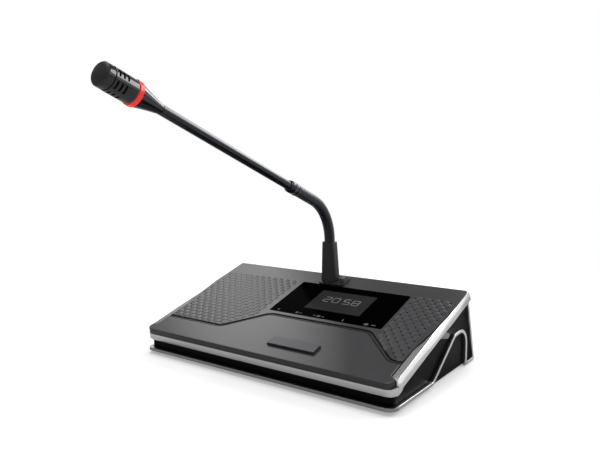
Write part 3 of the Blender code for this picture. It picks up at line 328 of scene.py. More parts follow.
# what is cut keeps the shade's surface on its new faces, a near-black colour painted as shade in the recess
def cutAway(piece, tool, shade):
    tool.data.materials.clear()
    tool.data.materials.append(surfaces[shade])
    applyModifier(piece, "BOOLEAN", operation="DIFFERENCE", solver="EXACT", object=tool,
                  material_mode="TRANSFER")
    bpy.data.objects.remove(tool, do_unlink=True)


# the middle of a node's box, and its low and high corners
def boxMiddle(name):
    low, high = (Vector(point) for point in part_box(name))
    return Vector([(least + most) / 2 for least, most in zip(low, high)]), low, high


def insideOutline(x, v, outline):
    inside = False
    for (ax, av), (bx, bv) in zip(outline, outline[1:] + outline[:1]):
        if (av > v) != (bv > v) and x < (bx - ax) * (v - av) / (bv - av) + ax:
            inside = not inside
    return inside


def onDeck(x, v, height=0.0):
    return deckFrame @ Matrix.Translation((x, v, height))


# a thin plate on the deck from an outline of (x, v) points, drawn as a flat curve
def flatPlate(outline, height, thick):
    curve = bpy.data.curves.new("plate", "CURVE")
    curve.dimensions = "2D"
    curve.fill_mode = "BOTH"
    curve.extrude = thick / 2
    spline = curve.splines.new("POLY")
    spline.points.add(len(outline) - 1)
    for point, (x, v) in zip(spline.points, outline):
        point.co = (x, v, 0, 1)
    spline.use_cyclic_u = True
    plate = meshFromCurve("plate", curve)
    plate.matrix_world = onDeck(0, 0, height + thick / 2)
    settle()
    return plate


# the deck cover with its pits and its step, and the raised diamonds between the pits
fieldPlan = {
    "middle": (-0.064, 0.006),
    "column": 0.0066,
    "row": 0.004,
    "rows": (-14, 14),
    "columns": (-12, 32),
    "drilledReach": 0.0158,
    "pitCorners": 8,
    "pitTurn": 0.1,
    "pitFloor": 0.55,
    "pitMouth": 1.25,
    "pitRadius": 0.00092,
    "pitDepth": 0.0007,
    "diamondShare": 0.9,
    "diamondHeight": 0.00022,
    "diamondSink": 0.00002,
    "diamondTop": 0.2,
    "left": [(-0.0978, -0.0350), (-0.0480, -0.0350), (-0.0278, -0.0150), (-0.0278, 0.0415),
             (-0.1022, 0.0415), (-0.1022, 0.022), (-0.1002, 0.0), (-0.0978, -0.022)],
    "right": [(0.0738, -0.0158), (0.0925, -0.0345), (0.0978, -0.0345), (0.0978, -0.022),
              (0.1002, 0.0), (0.1022, 0.022), (0.1022, 0.0415), (0.0738, 0.0415)],
}


# every second row of the lattice is moved by half a column
def fieldPlaces(shiftColumns):
    plan = fieldPlan
    for row in range(*plan["rows"]):
        for column in range(*plan["columns"]):
            x = plan["middle"][0] + (column + shiftColumns + (0.5 if row % 2 else 0.0)) * plan["column"]
            v = plan["middle"][1] + row * plan["row"]
            if insideOutline(x, v, plan["left"]) or insideOutline(x, v, plan["right"]):
                yield x, v


# the loudspeaker's own holes are already drilled in the middle of the left field
def makePitTool():
    plan = fieldPlan
    clearSelection()
    drills = []
    for x, v in fieldPlaces(0.0):
        if math.hypot(x - plan["middle"][0], v - plan["middle"][1]) <= plan["drilledReach"]:
            continue
        bpy.ops.mesh.primitive_cone_add(vertices=plan["pitCorners"], depth=2 * plan["pitDepth"],
                                        radius1=plan["pitRadius"] * plan["pitFloor"],
                                        radius2=plan["pitRadius"] * plan["pitMouth"])
        drill = bpy.context.object
        drill.matrix_world = onDeck(x, v) @ Matrix.Rotation(plan["pitTurn"], 4, "Z")
        drills.append(drill)
    return joinAll(drills)


def makeDiamonds():
    plan = fieldPlan
    share = plan["diamondShare"]
    scale = Matrix.Diagonal((plan["column"] / 2 * share, plan["row"] * share, 1.0, 1.0))
    diamonds = []
    for x, v in fieldPlaces(0.5):
        bpy.ops.mesh.primitive_cone_add(vertices=4, radius1=1.0, radius2=plan["diamondTop"],
                                        depth=plan["diamondHeight"], end_fill_type="NGON")
        diamond = bpy.context.object
        diamond.matrix_world = onDeck(x, v, plan["diamondHeight"] / 2 - plan["diamondSink"]) @ scale
        diamonds.append(diamond)
    finishPiece(joinAll(diamonds), "deckDiamonds", "coverPlastic", "base", smoothAngle=None)


stepPlan = {"frontV": -0.0385, "backV": -0.0124, "ramps": (-0.0465, -0.0195, 0.0645, 0.0925), "end": 0.1067,
            "bend": 0.01, "width": 0.0034, "depth": 0.00022, "overrun": 0.001, "steps": 8}


# points of the step's line across the deck, with each corner rounded
def stepPoints():
    plan = stepPlan
    first, second, third, fourth = plan["ramps"]
    corners = [Vector(point) for point in (
        (-plan["end"], plan["frontV"]), (first, plan["frontV"]), (second, plan["backV"]),
        (third, plan["backV"]), (fourth, plan["frontV"]), (plan["end"], plan["frontV"]))]
    points = [corners[0]]
    for before, corner, after in zip(corners, corners[1:], corners[2:]):
        inward, outward = (before - corner).normalized(), (after - corner).normalized()
        half = inward.angle(outward) / 2
        run = plan["bend"] / math.tan(half)
        start, end = corner + inward * run, corner + outward * run
        for step in range(plan["steps"] + 1):
            t = step / plan["steps"]
            points.append(start * (1 - t) ** 2 + corner * 2 * t * (1 - t) + end * t ** 2)
    return points + [corners[-1]]


def offsetLine(points, distance):
    moved = []
    for index, point in enumerate(points):
        before, after = points[max(index - 1, 0)], points[min(index + 1, len(points) - 1)]
        way = (after - before).normalized()
        moved.append(point + Vector((-way.y, way.x)) * distance)
    return moved


def makeStepTool():
    plan = stepPlan
    points = stepPoints()
    outline = offsetLine(points, plan["width"] / 2) + offsetLine(points, -plan["width"] / 2)[::-1]
    return flatPlate(outline, -plan["depth"], plan["depth"] + plan["overrun"])


cover = copyOfNode("top_cover")
# the walls of the pits and of the step get painted shade
cutAway(cover, makePitTool(), "paintedRecessShade")
cutAway(cover, makeStepTool(), "paintedRecessShade")
finishPiece(cover, "deckCover", "coverPlastic", "base", ("top_cover",), meshPlan["edgeAngle"], clean=False,
            keepSurfaces=True)
applyModifier(cover, "WEIGHTED_NORMAL", keep_sharp=True)
makeDiamonds()
print("cover made")


# silver trim; painted shade gives a satin grey instead of silver to its ledge next to the cover and to
# faces low on its sides
trimPlan = {"edge": 0.0003, "ledgeTurn": 0.93, "lowShadeDepth": 0.0074, "lowShadeFront": 0.02, "lowShadeBack": 0.09}
trim = copyOfNode("trim_frame")
softenEdges(trim, trimPlan["edge"])
finishPiece(trim, "trimFrame", "silverTrim", "base", ("trim_frame",), meshPlan["roundAngle"], clean=False)
trim.data.materials.append(surfaces["trimPaintedShade"])
# faces facing out of the deck, and faces low on the sides, get the grey of painted shade
for face in trim.data.polygons:
    depth = (deckMiddle - face.center).dot(outOfDeck)
    onLedge = face.normal.dot(outOfDeck) > trimPlan["ledgeTurn"]
    inLowShade = depth > trimPlan["lowShadeDepth"] and trimPlan["lowShadeFront"] < face.center.y < trimPlan["lowShadeBack"]
    if onLedge or inLowShade:
        face.material_index = 1

# casing pieces that are the CAD node with softened edges: node, name, finish, body, edge and segments,
# and for the boot the angle it is smoothed by
refinedPlans = [
    ("side_ribbon_left", "sideRibbonLeft", "silverTrim", "base", 0.00035, 2),
    ("side_ribbon_right", "sideRibbonRight", "silverTrim", "base", 0.00035, 2),
    # the front ribbon gets the silver with painted shade
    ("front_ribbon", "frontRibbon", "silverInPaintedShade", "base", 0.00035, 2),
    ("side_cheek_left", "sideCheekLeft", "blackPlastic", "base", 0.0004, 2),
    ("side_cheek_right", "sideCheekRight", "blackPlastic", "base", 0.0004, 2),
    ("socket_collar", "socketCollar", "coverPlastic", "base", 0.0002, 2),
    ("talk_button", "talkKey", "keyPlastic", "talk_key", 0.0003, 3),
    ("release_button", "releaseKey", "releaseGrey", "release_key", 0.0003, 3),
    ("mic_boot", "micBoot", "bootRubber", "mic_foot", 0.0004, 3, 50.0),
    ("base_tray", "baseTray", "blackPlastic", "base", 0.0003, 2),
    ("rear_panel", "rearPanel", "blackPlastic", "base", 0.00025, 2),
]
for refinedPlan in refinedPlans:
    refinedNode(*refinedPlan)
print("casing refined")


# display window with a panel, plain digits and key marks
windowPlan = {"edge": 0.0002, "panelMiddle": (0.0241, 0.0174), "panelSize": (0.047, 0.028),
              "panelCorner": 0.0006, "panelLift": 0.00001, "panelThick": 0.00004}
digitPlan = {"text": "2058", "middle": (0.0239, 0.0192), "height": 0.0066, "width": 0.0052, "pitch": 0.0076,
             "pairGap": 0.0017, "barThick": 0.0008, "lift": 0.00006, "thick": 0.00004}
segmentEnds = {"a": ((0, 2), (1, 2)), "b": ((1, 1), (1, 2)), "c": ((1, 0), (1, 1)), "d": ((0, 0), (1, 0)),
               "e": ((0, 0), (0, 1)), "f": ((0, 1), (0, 2)), "g": ((0, 1), (1, 1))}
digitSegments = {"0": "abcdef", "2": "abged", "5": "afgcd", "8": "abcdefg"}


def roundedOutline(middle, size, corner, steps=6):
    points = []
    for turn, a, b in ((0, 1, 1), (90, -1, 1), (180, -1, -1), (270, 1, -1)):
        cx = middle[0] + a * (size[0] / 2 - corner)
        cv = middle[1] + b * (size[1] / 2 - corner)
        for step in range(steps + 1):
            angle = math.radians(turn + 90 * step / steps)
            points.append((cx + corner * math.cos(angle), cv + corner * math.sin(angle)))
    return points


# a six-sided bar with pointed ends, as in a segment display
def barOutline(start, end, thick):
    start, end = Vector(start), Vector(end)
    along = (end - start).normalized() * thick / 2
    across = Vector((-along.y, along.x))
    return [start, start + along + across, end - along + across,
            end, end - along - across, start + along - across]


def makeDigits():
    plan = digitPlan
    text, middle = plan["text"], plan["middle"]
    bars = []
    start = middle[0] - (plan["pitch"] * (len(text) - 1) + plan["pairGap"] + plan["width"]) / 2
    low = middle[1] - plan["height"] / 2
    for index, letter in enumerate(text):
        x = start + index * plan["pitch"] + (plan["pairGap"] if 2 * index >= len(text) else 0.0)
        for segment in digitSegments[letter]:
            ends = [(x + a * plan["width"], low + b * plan["height"] / 2) for a, b in segmentEnds[segment]]
            bars.append(flatPlate(barOutline(*ends, plan["barThick"]), plan["lift"], plan["thick"]))
    return joinAll(bars)


refinedNode("display_window", "windowPanel", "windowGloss", "base", windowPlan["edge"])
panelOutline = roundedOutline(windowPlan["panelMiddle"], windowPlan["panelSize"], windowPlan["panelCorner"])
panel = flatPlate(panelOutline, windowPlan["panelLift"], windowPlan["panelThick"])
finishPiece(panel, "displayPanel", "displayGlass", "base")
finishPiece(makeDigits(), "displayDigits", "digitGlow", "base")

# each rounded mark: where along the row, its size, its corner and the corner's steps
markPlan = {"lift": 0.00001, "thick": 0.00003, "row": -0.0047,
            "arrow": [(-0.0184, -0.0047), (-0.0164, -0.0034), (-0.0164, -0.0060)],
            "rounded": [(-0.0002, (0.0020, 0.0022), 0.0003, 3), (0.0032, (0.0026, 0.0008), 0.0003, 3),
                        (0.0152, (0.0022, 0.0008), 0.0003, 3), (0.0188, (0.0028, 0.0022), 0.0003, 3),
                        (0.0226, (0.0022, 0.0008), 0.0003, 3), (0.0392, (0.0009, 0.0026), 0.00035, 3),
                        (0.0578, (0.0036, 0.0024), 0.0011, 5), (0.0634, (0.0036, 0.0009), 0.0004, 5)]}
markOutlines = [markPlan["arrow"]] + [roundedOutline((x, markPlan["row"]), size, corner, steps)
                                      for x, size, corner, steps in markPlan["rounded"]]
marks = joinAll([flatPlate(outline, markPlan["lift"], markPlan["thick"]) for outline in markOutlines])
finishPiece(marks, "keyMarks", "inkPale", "base")
print("display made")


# gooseneck: a finely ribbed sleeve, one stretch for each hinge
neckPlan = {"start": (-0.004, 0.092614, 0.082966), "radius": 0.0042, "resolution": 10, "rib": 0.00016,
            "ribPitch": 0.00126, "ribSteps": 4, "shortest": 0.2, "slack": 0.001, "root": 0.005,
            "end": 0.0064, "curveRadius": 0.0364, "tilt": math.radians(68.9), "straight": 0.0224,
            "hinges": 8, "blendReach": 0.003}


# the neck rises, leans forwards on an arc and then runs straight
def neckPoint(distance):
    plan = neckPlan
    startX, startY, startZ = Vector(plan["start"])
    arc = plan["curveRadius"] * plan["tilt"]
    turn = min(distance, arc) / plan["curveRadius"]
    y = startY - plan["curveRadius"] * (1 - math.cos(turn))
    z = startZ + plan["curveRadius"] * math.sin(turn)
    run = max(distance - arc, 0.0)
    tangent = Vector((0, -math.sin(turn), math.cos(turn)))
    return Vector((startX, y, z)) + tangent * run, tangent


# points of the sleeve fall on the ribs' own steps, and none lies too near the stretch's ends
def makeSleeve(name, low, high, stands):
    plan = neckPlan
    step = plan["ribPitch"] / plan["ribSteps"]
    first = math.ceil(low / step - plan["slack"])
    last = math.floor(high / step + plan["slack"])
    distances = [low] + [index * step for index in range(first, last + 1)] + [high]
    distances = [distance for index, distance in enumerate(distances)
                 if index == 0 or distance - distances[index - 1] > step * plan["shortest"]]
    curve = bpy.data.curves.new(name, "CURVE")
    curve.dimensions = "3D"
    curve.bevel_depth = plan["radius"]
    curve.bevel_resolution = plan["resolution"]
    curve.use_fill_caps = True
    spline = curve.splines.new("POLY")
    spline.points.add(len(distances) - 1)
    for point, distance in zip(spline.points, distances):
        wave = math.cos(2 * math.pi * distance / plan["ribPitch"])
        point.co = (*neckPoint(distance)[0], 1)
        point.radius = 1.0 - plan["rib"] / plan["radius"] * (0.5 + 0.5 * wave)
    sleeve = meshFromCurve(name, curve)
    bpy.ops.object.shade_smooth_by_angle(angle=math.radians(meshPlan["roundAngle"]))
    sleeve.data.materials.clear()
    sleeve.data.materials.append(surfaces["neckCoating"])
    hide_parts(*stands)
    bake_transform(sleeve)


neckLength = neckPlan["curveRadius"] * neckPlan["tilt"] + neckPlan["straight"]
neckStep = (neckLength - neckPlan["root"] - neckPlan["end"]) / (neckPlan["hinges"] - 1)
for index in range(neckPlan["hinges"]):
    middle = neckPlan["root"] + index * neckStep
    low = 0.0 if index == 0 else middle - neckStep / 2
    last = index == neckPlan["hinges"] - 1
    high = neckLength if last else middle + neckStep / 2
    stands = ["neck_root"] if index == 0 else ["neck_link_%d" % index]
    if last:
        stands.append("neck_end")
    makeSleeve("neckSleeve%d" % (index + 1), low, high, stands)
print("neck made")


# stem and head, turned about the stem's axis and measured along it from the neck's end
stemEnd, stemWay = neckPoint(neckLength)
stemPlace = Matrix.Translation(stemEnd) @ Matrix.Rotation(neckPlan["tilt"], 4, "X")
headPlan = {"gap": 0.0003, "steps": 96, "stemRadius": 0.00315, "stemLength": 0.1245, "headRadius": 0.007,
            "ringLength": 0.003, "ringRadius": 0.0075, "boreRadius": 0.0045, "barrelLength": 0.0149,
            "barrelWall": 0.001, "barrelSeat": 0.0026, "liningDrop": 0.0075, "round": 0.0003}
ferrulePlan = {"length": 0.0115, "radius": 0.0045, "lip": 0.0022, "grooveFrom": 0.3, "grooveTo": 0.36}


def makeFerrule():
    radius, length, lip = ferrulePlan["radius"], ferrulePlan["length"], ferrulePlan["lip"]
    grooveLow, grooveHigh = length * ferrulePlan["grooveFrom"], length * ferrulePlan["grooveTo"]
    edge = headPlan["round"]
    neckEnd = headPlan["stemRadius"] + headPlan["gap"]
    rings = [(radius - lip / 4, 0), (radius - lip / 12, lip / 6), (radius, lip / 2), (radius, grooveLow),
             (radius - edge / 2, grooveLow + edge), (radius - edge / 2, grooveHigh),
             (radius, grooveHigh + edge), (radius, length - lip),
             (radius - edge / 2, length - lip + edge), (neckEnd + edge, length - edge / 2),
             (neckEnd, length)]
    piece = turnedPiece(rings, headPlan["steps"], stemPlace)
    finishPiece(piece, "neckFerrule", "stemLacquer", "mic_head", ("neck_ferrule",))


def makeStemTube():
    low = ferrulePlan["length"] + headPlan["gap"]
    high = low + headPlan["stemLength"]
    radius, edge = headPlan["stemRadius"], headPlan["round"] / 2
    rings = [(radius - edge, low), (radius, low + edge), (radius, (low + high) / 2), (radius, high - edge),
             (radius - edge, high)]
    piece = turnedPiece(rings, headPlan["steps"], stemPlace)
    finishPiece(piece, "stemTube", "stemLacquer", "mic_head", ("stem_tube",))
    return high


conePlan = {"length": 0.0175, "steps": 24, "power": 1.15, "bulge": 0.35, "plugLength": 0.006}


# the cone swells in one smooth curve from the stem to the head, and its plug holds the ring and the barrel
def makeHeadCone(base):
    plan = conePlan
    small, large = headPlan["stemRadius"], headPlan["headRadius"]
    rings = [(small, base)]
    for step in range(1, plan["steps"] + 1):
        share = step / plan["steps"]
        swell = share ** plan["power"] * (1 - plan["bulge"] * share) + plan["bulge"] * share ** 2
        rings.append((small + (large - small) * swell, base + plan["length"] * share))
    top = base + plan["length"]
    plugRadius = headPlan["boreRadius"] - headPlan["gap"]
    rings += [(plugRadius, top), (plugRadius, top + plan["plugLength"])]
    piece = turnedPiece(rings, headPlan["steps"], stemPlace)
    finishPiece(piece, "headCone", "headLacquer", "mic_head", ("head_cone",))
    return top


def makeLightRing(low):
    plan = headPlan
    high = low + plan["ringLength"]
    outer, bore, edge = plan["ringRadius"], plan["boreRadius"], plan["round"]
    rings = [(bore, low), (outer - edge, low), (outer, low + edge), (outer, high - edge),
             (outer - edge, high), (bore, high)]
    piece = turnedPiece(rings, plan["steps"], stemPlace, hollow=True)
    finishPiece(piece, "lightRing", "redLens", "mic_head", ("light_ring",))
    return high


slotPlan = {"rows": 3, "perRow": 6, "first": 0.0073, "pitch": 0.0028, "width": 0.0013, "arcShare": 0.66,
            "depthShare": 1.6, "cornerShare": 0.45, "cornerSteps": 3, "overrun": 0.001}


# one bar with rounded corners is copied round the barrel, row by row
def makeSlotTool(low):
    plan = slotPlan
    spread = 2 * math.pi / plan["perRow"]
    length = 2 * headPlan["headRadius"] * math.sin(spread * plan["arcShare"] / 2)
    inner = headPlan["headRadius"] - headPlan["barrelWall"] * plan["depthShare"]
    outer = headPlan["headRadius"] + plan["overrun"]
    clearSelection()
    bpy.ops.mesh.primitive_cube_add(size=1.0)
    first = bpy.context.object
    first.scale = (outer - inner, length, plan["width"])
    bpy.ops.object.transform_apply(scale=True)
    bpy.ops.object.mode_set(mode="EDIT")
    bpy.ops.mesh.select_all(action="DESELECT")
    bpy.ops.object.mode_set(mode="OBJECT")
    for edge in first.data.edges:
        start, end = (first.data.vertices[index].co for index in edge.vertices)
        edge.select = abs(start.x - end.x) > (outer - inner) / 2
    bpy.ops.object.mode_set(mode="EDIT")
    bpy.ops.mesh.bevel(offset=plan["width"] * plan["cornerShare"], segments=plan["cornerSteps"],
                       affect="EDGES")
    bpy.ops.object.mode_set(mode="OBJECT")
    tools = []
    for row in range(plan["rows"]):
        height = low + plan["first"] + row * plan["pitch"]
        for index in range(plan["perRow"]):
            tool = first.copy()
            tool.data = first.data.copy()
            bpy.context.collection.objects.link(tool)
            turn = Matrix.Rotation((index + 0.5) * spread, 4, "Z")
            tool.matrix_world = stemPlace @ turn @ Matrix.Translation(((outer + inner) / 2, 0, height))
            tools.append(tool)
    bpy.data.objects.remove(first, do_unlink=True)
    tool = joinAll(tools)
    settle()
    return tool


# the barrel is a cup with slots, and a dark lining fills the lower part of it as painted shade inside the
# head
def makeBarrel(low):
    plan = headPlan
    high = low + plan["barrelLength"]
    outer, bore, edge = plan["headRadius"], plan["boreRadius"], plan["round"] / 2
    inner = outer - plan["barrelWall"]
    seat = low + plan["barrelSeat"]
    rings = [(bore, low), (outer - edge, low), (outer, low + edge), (outer, high - edge),
             (outer - edge, high), (inner, high), (inner, seat), (bore, seat)]
    piece = turnedPiece(rings, plan["steps"], stemPlace, hollow=True)
    piece.data.materials.append(surfaces["headLacquer"])
    # the walls of the slots get painted shade
    cutAway(piece, makeSlotTool(low), "paintedRecessShade")
    finishPiece(piece, "headBarrel", "headLacquer", "mic_head", ("head_barrel",), keepSurfaces=True)
    liningRadius = inner - plan["gap"]
    liningLow, liningTop = seat + plan["gap"], high - plan["liningDrop"]
    rings = [(liningRadius - edge, liningLow), (liningRadius, liningLow + edge), (liningRadius, liningTop - edge),
             (liningRadius - edge, liningTop)]
    innerLining = turnedPiece(rings, plan["steps"], stemPlace)
    finishPiece(innerLining, "headShadeLining", "capMeshAndInnerShade", "mic_head")
    return high


capPlan = {"radius": 0.0069, "length": 0.0058, "round": 0.0022, "steps": 10, "noseShare": 0.25,
           "dome": 0.0006, "domeShares": (0.75, 0.5, 0.25, 0.05), "plugDepth": 0.0012,
           "grooveDepth": 0.00035, "grooveWidth": 0.0007, "grooveFloor": 0.6}


# the cap has a mesh nose and a lacquered side, with a shallow groove where it meets the barrel
def makeCap(low):
    plan = capPlan
    high = low + plan["length"]
    plug = headPlan["headRadius"] - headPlan["barrelWall"] - headPlan["gap"]
    grooveRadius, width = plan["radius"] - plan["grooveDepth"], plan["grooveWidth"]
    rings = [(plug, low - plan["plugDepth"]), (plug, low), (grooveRadius, low),
             (grooveRadius, low + width * plan["grooveFloor"]), (plan["radius"], low + width)]
    flat = plan["radius"] - plan["round"]
    for step in range(plan["steps"] + 1):
        turn = math.radians(90) * step / plan["steps"]
        rings.append((flat + plan["round"] * math.cos(turn), high - plan["round"] * (1 - math.sin(turn))))
    for share in plan["domeShares"]:
        rings.append((flat * share, high + plan["dome"] * (1 - share ** 2)))
    piece = turnedPiece(rings, headPlan["steps"], stemPlace)
    finishPiece(piece, "frontCap", "capMeshAndInnerShade", "mic_head", ("front_cap",))
    piece.data.materials.append(surfaces["headLacquer"])
    for face in piece.data.polygons:
        if face.normal.dot(stemWay) < plan["noseShare"]:
            face.material_index = 1


makeFerrule()
coneBase = makeStemTube() + headPlan["gap"]
ringBase = makeHeadCone(coneBase) + headPlan["gap"]
barrelBase = makeLightRing(ringBase) + headPlan["gap"]
makeCap(makeBarrel(barrelBase) + headPlan["gap"])
print("head made")


# feet with a dished sole, and screws with a crossed slot, under the tray
footPlan = {"radius": 0.0055, "round": 0.0006, "cornerShare": 0.3, "dish": 0.0003, "dishShare": 0.55,
            "dishFloor": 0.3, "steps": 48}
screwPlan = {"slotLength": 0.0034, "slotWidth": 0.0007, "slotDepth": 0.0009, "turns": (20.0, 110.0)}


def makeFoot(corner, name):
    plan = footPlan
    middle, low, high = boxMiddle("foot_" + corner)
    radius, edge = plan["radius"], plan["round"]
    dishRadius = radius * plan["dishShare"]
    bulge = edge * plan["cornerShare"]
    rings = [(dishRadius * plan["dishFloor"], plan["dish"]), (dishRadius, plan["dish"]),
             (dishRadius + edge / 2, 0), (radius - edge, 0), (radius - bulge, bulge), (radius, edge),
             (radius, high.z - low.z)]
    foot = turnedPiece(rings, plan["steps"], Matrix.Translation((middle.x, middle.y, low.z)))
    finishPiece(foot, name, "footRubber", "base", ("foot_" + corner,))


def makeScrew(corner, name):
    plan = screwPlan
    middle, low, high = boxMiddle("screw_" + corner)
    screw = copyOfNode("screw_" + corner)
    bars = []
    for turn in plan["turns"]:
        bpy.ops.mesh.primitive_cube_add(size=1.0, location=(middle.x, middle.y, low.z))
        bar = bpy.context.object
        bar.scale = (plan["slotLength"], plan["slotWidth"], 2 * plan["slotDepth"])
        bar.rotation_euler = (0, 0, math.radians(turn))
        bars.append(bar)
    for bar in bars:
        # the walls of the crossed slot get painted shade
        cutAway(screw, bar, "paintedRecessShade")
    finishPiece(screw, name, "plainSteel", "base", ("screw_" + corner,), clean=False, keepSurfaces=True)


for corner in ("front_left", "front_right", "rear_left", "rear_right"):
    words = corner.title().replace("_", "")
    makeFoot(corner, "foot" + words)
    makeScrew(corner, "screw" + words)
print("feet and screws made")


# connectors at the back: a plated shell with contacts in each data socket, and a plated sleeve in the jack
socketPlan = {"groove": (0.00572, 0.00658), "grooveDepth": 0.0048, "shellSink": 0.0005, "round": 0.0001,
              "contactRing": 0.0035, "contactRadius": 0.00052, "contactDepth": 0.004, "contactRoot": 0.001,
              "contactRise": 0.003, "contactSteps": 16, "contacts": 7, "firstContact": 225.0,
              "contactSweep": 270.0, "steps": 64, "sleeve": (0.00145, 0.00176), "sleeveDepth": 0.006}


# a place on the back, y pointing up and z out of the panel
def rearPlace(name):
    middle, low, high = boxMiddle(name)
    return Matrix.Translation((middle.x, high.y, middle.z)) @ Matrix.Rotation(math.radians(-90), 4, "X")


# a tube with rounded edges at its open end, from its inner and outer radius and its depth
def makeTube(inner, outer, depth, place):
    plan = socketPlan
    low, high, edge = -depth, -plan["shellSink"], plan["round"]
    rings = [(inner, low), (outer, low), (outer, high - edge), (outer - edge, high), (inner + edge, high),
             (inner, high - edge)]
    return turnedPiece(rings, plan["steps"], place, hollow=True)


def makeContacts(place):
    plan = socketPlan
    radius, edge = plan["contactRadius"], plan["round"]
    foot, tip = -plan["contactDepth"] - plan["contactRoot"], -plan["contactDepth"] + plan["contactRise"]
    rings = [(radius, foot), (radius, tip), (radius - edge, tip + edge)]
    contacts = []
    for index in range(plan["contacts"]):
        angle = math.radians(plan["firstContact"] - plan["contactSweep"] * index / (plan["contacts"] - 1))
        spot = (plan["contactRing"] * math.cos(angle), plan["contactRing"] * math.sin(angle), 0)
        contacts.append(turnedPiece(rings, plan["contactSteps"], place @ Matrix.Translation(spot)))
    return joinAll(contacts)


for side in ("left", "right"):
    place = rearPlace("data_socket_" + side)
    shell = makeTube(*socketPlan["groove"], socketPlan["grooveDepth"], place)
    finishPiece(shell, "socketShell" + side.title(), "plainSteel", "base")
    finishPiece(makeContacts(place), "socketContacts" + side.title(), "turnedBrass", "base")
sleeve = makeTube(*socketPlan["sleeve"], socketPlan["sleeveDepth"], rearPlace("phone_jack"))
finishPiece(sleeve, "jackSleeve", "plainSteel", "base")

# a foam strip behind the slot between the cover and the rear panel
sealPlan = {"halfWidth": 0.0962, "low": 0.0452, "high": 0.0512, "thick": 0.0012, "clear": 0.0001,
            "round": 0.0003}
sealY = boxMiddle("rear_panel")[1].y - sealPlan["clear"] - sealPlan["thick"] / 2
bpy.ops.mesh.primitive_cube_add(size=1.0, location=(0, sealY, (sealPlan["low"] + sealPlan["high"]) / 2))
seal = bpy.context.object
seal.scale = (2 * sealPlan["halfWidth"], sealPlan["thick"], sealPlan["high"] - sealPlan["low"])
settle()
softenEdges(seal, sealPlan["round"])
finishPiece(seal, "rearSeal", "footRubber", "base")
print("connectors made")


# floor: a pale paint, dimmer to glossy rays and lifted to the camera, that fades into white far away
floorPlan = {"size": 12.0, "drop": 0.0002, "lift": 0.35, "glossyDim": 0.4, "fadeFrom": 0.32, "fadeTo": 0.62,
             "paint": 0.9}
bpy.ops.mesh.primitive_plane_add(size=floorPlan["size"], location=(0, 0, -floorPlan["drop"]))
floor = bpy.context.object
floor.name = "floor"
floorMaterial = bpy.data.materials.new("floorPaint")
floorMaterial.use_nodes = True
floorNodes = floorMaterial.node_tree.nodes
floorLinks = floorMaterial.node_tree.links
floorNodes.remove(floorNodes["Principled BSDF"])
paint = addNode(floorMaterial, "ShaderNodeBsdfDiffuse", (-400, 100))
lift = addNode(floorMaterial, "ShaderNodeEmission", (-400, -100), Color=(1.0, 1.0, 1.0, 1.0))
farAway = addNode(floorMaterial, "ShaderNodeEmission", (-400, -300), Color=(1.0, 1.0, 1.0, 1.0))
floorRays = addNode(floorMaterial, "ShaderNodeLightPath", (-900, -100))
inMirrors = addNode(floorMaterial, "ShaderNodeMath", (-650, 100), operation="MULTIPLY_ADD")
inMirrors.inputs[1].default_value = -floorPlan["glossyDim"]
inMirrors.inputs[2].default_value = floorPlan["paint"]
floorLinks.new(floorRays.outputs["Is Glossy Ray"], inMirrors.inputs[0])
floorLinks.new(inMirrors.outputs["Value"], paint.inputs["Color"])
seenDirectly = addNode(floorMaterial, "ShaderNodeMath", (-650, -100), operation="MULTIPLY")
seenDirectly.inputs[1].default_value = floorPlan["lift"]
floorLinks.new(floorRays.outputs["Is Camera Ray"], seenDirectly.inputs[0])
floorLinks.new(seenDirectly.outputs["Value"], lift.inputs["Strength"])
nearMix = addNode(floorMaterial, "ShaderNodeAddShader", (-200, 50))
floorLinks.new(paint.outputs["BSDF"], nearMix.inputs[0])
floorLinks.new(lift.outputs["Emission"], nearMix.inputs[1])
floorPlace = addNode(floorMaterial, "ShaderNodeTexCoord", (-1100, 300))
floorReach = addNode(floorMaterial, "ShaderNodeVectorMath", (-900, 300), operation="LENGTH")
floorFade = addNode(floorMaterial, "ShaderNodeMapRange", (-700, 300), interpolation_type="SMOOTHSTEP")
floorFade.inputs["From Min"].default_value = floorPlan["fadeFrom"]
floorFade.inputs["From Max"].default_value = floorPlan["fadeTo"]
floorLinks.new(floorPlace.outputs["Object"], floorReach.inputs[0])
floorLinks.new(floorReach.outputs["Value"], floorFade.inputs["Value"])
farFactor = addNode(floorMaterial, "ShaderNodeMath", (-450, 300), operation="MULTIPLY")
floorLinks.new(floorFade.outputs["Result"], farFactor.inputs[0])
floorLinks.new(floorRays.outputs["Is Camera Ray"], farFactor.inputs[1])
floorMix = addNode(floorMaterial, "ShaderNodeMixShader", (0, 100))
floorLinks.new(farFactor.outputs["Value"], floorMix.inputs["Fac"])
floorLinks.new(nearMix.outputs["Shader"], floorMix.inputs[1])
floorLinks.new(farAway.outputs["Emission"], floorMix.inputs[2])
floorLinks.new(floorMix.outputs["Shader"], floorNodes["Material Output"].inputs["Surface"])
floor.data.materials.append(floorMaterial)

# the world is white to the camera and through glass; in reflections it is the bright backdrop behind the
# object with a dimmer ceiling and front, and it lights the object softly
worldPlan = {"fill": 0.3, "dim": 0.25, "backFrom": -0.1, "backTo": 0.35, "lowFrom": 0.3, "lowTo": 0.72}
world = bpy.data.worlds.new("studio")
bpy.context.scene.world = world
world.use_nodes = True
worldNodes = world.node_tree.nodes
worldLinks = world.node_tree.links
sky = worldNodes["Background"]
sky.inputs["Color"].default_value = (1, 1, 1, 1)
rays = worldNodes.new("ShaderNodeLightPath")
direction = worldNodes.new("ShaderNodeTexCoord")
parts = worldNodes.new("ShaderNodeSeparateXYZ")
worldLinks.new(direction.outputs["Generated"], parts.inputs["Vector"])


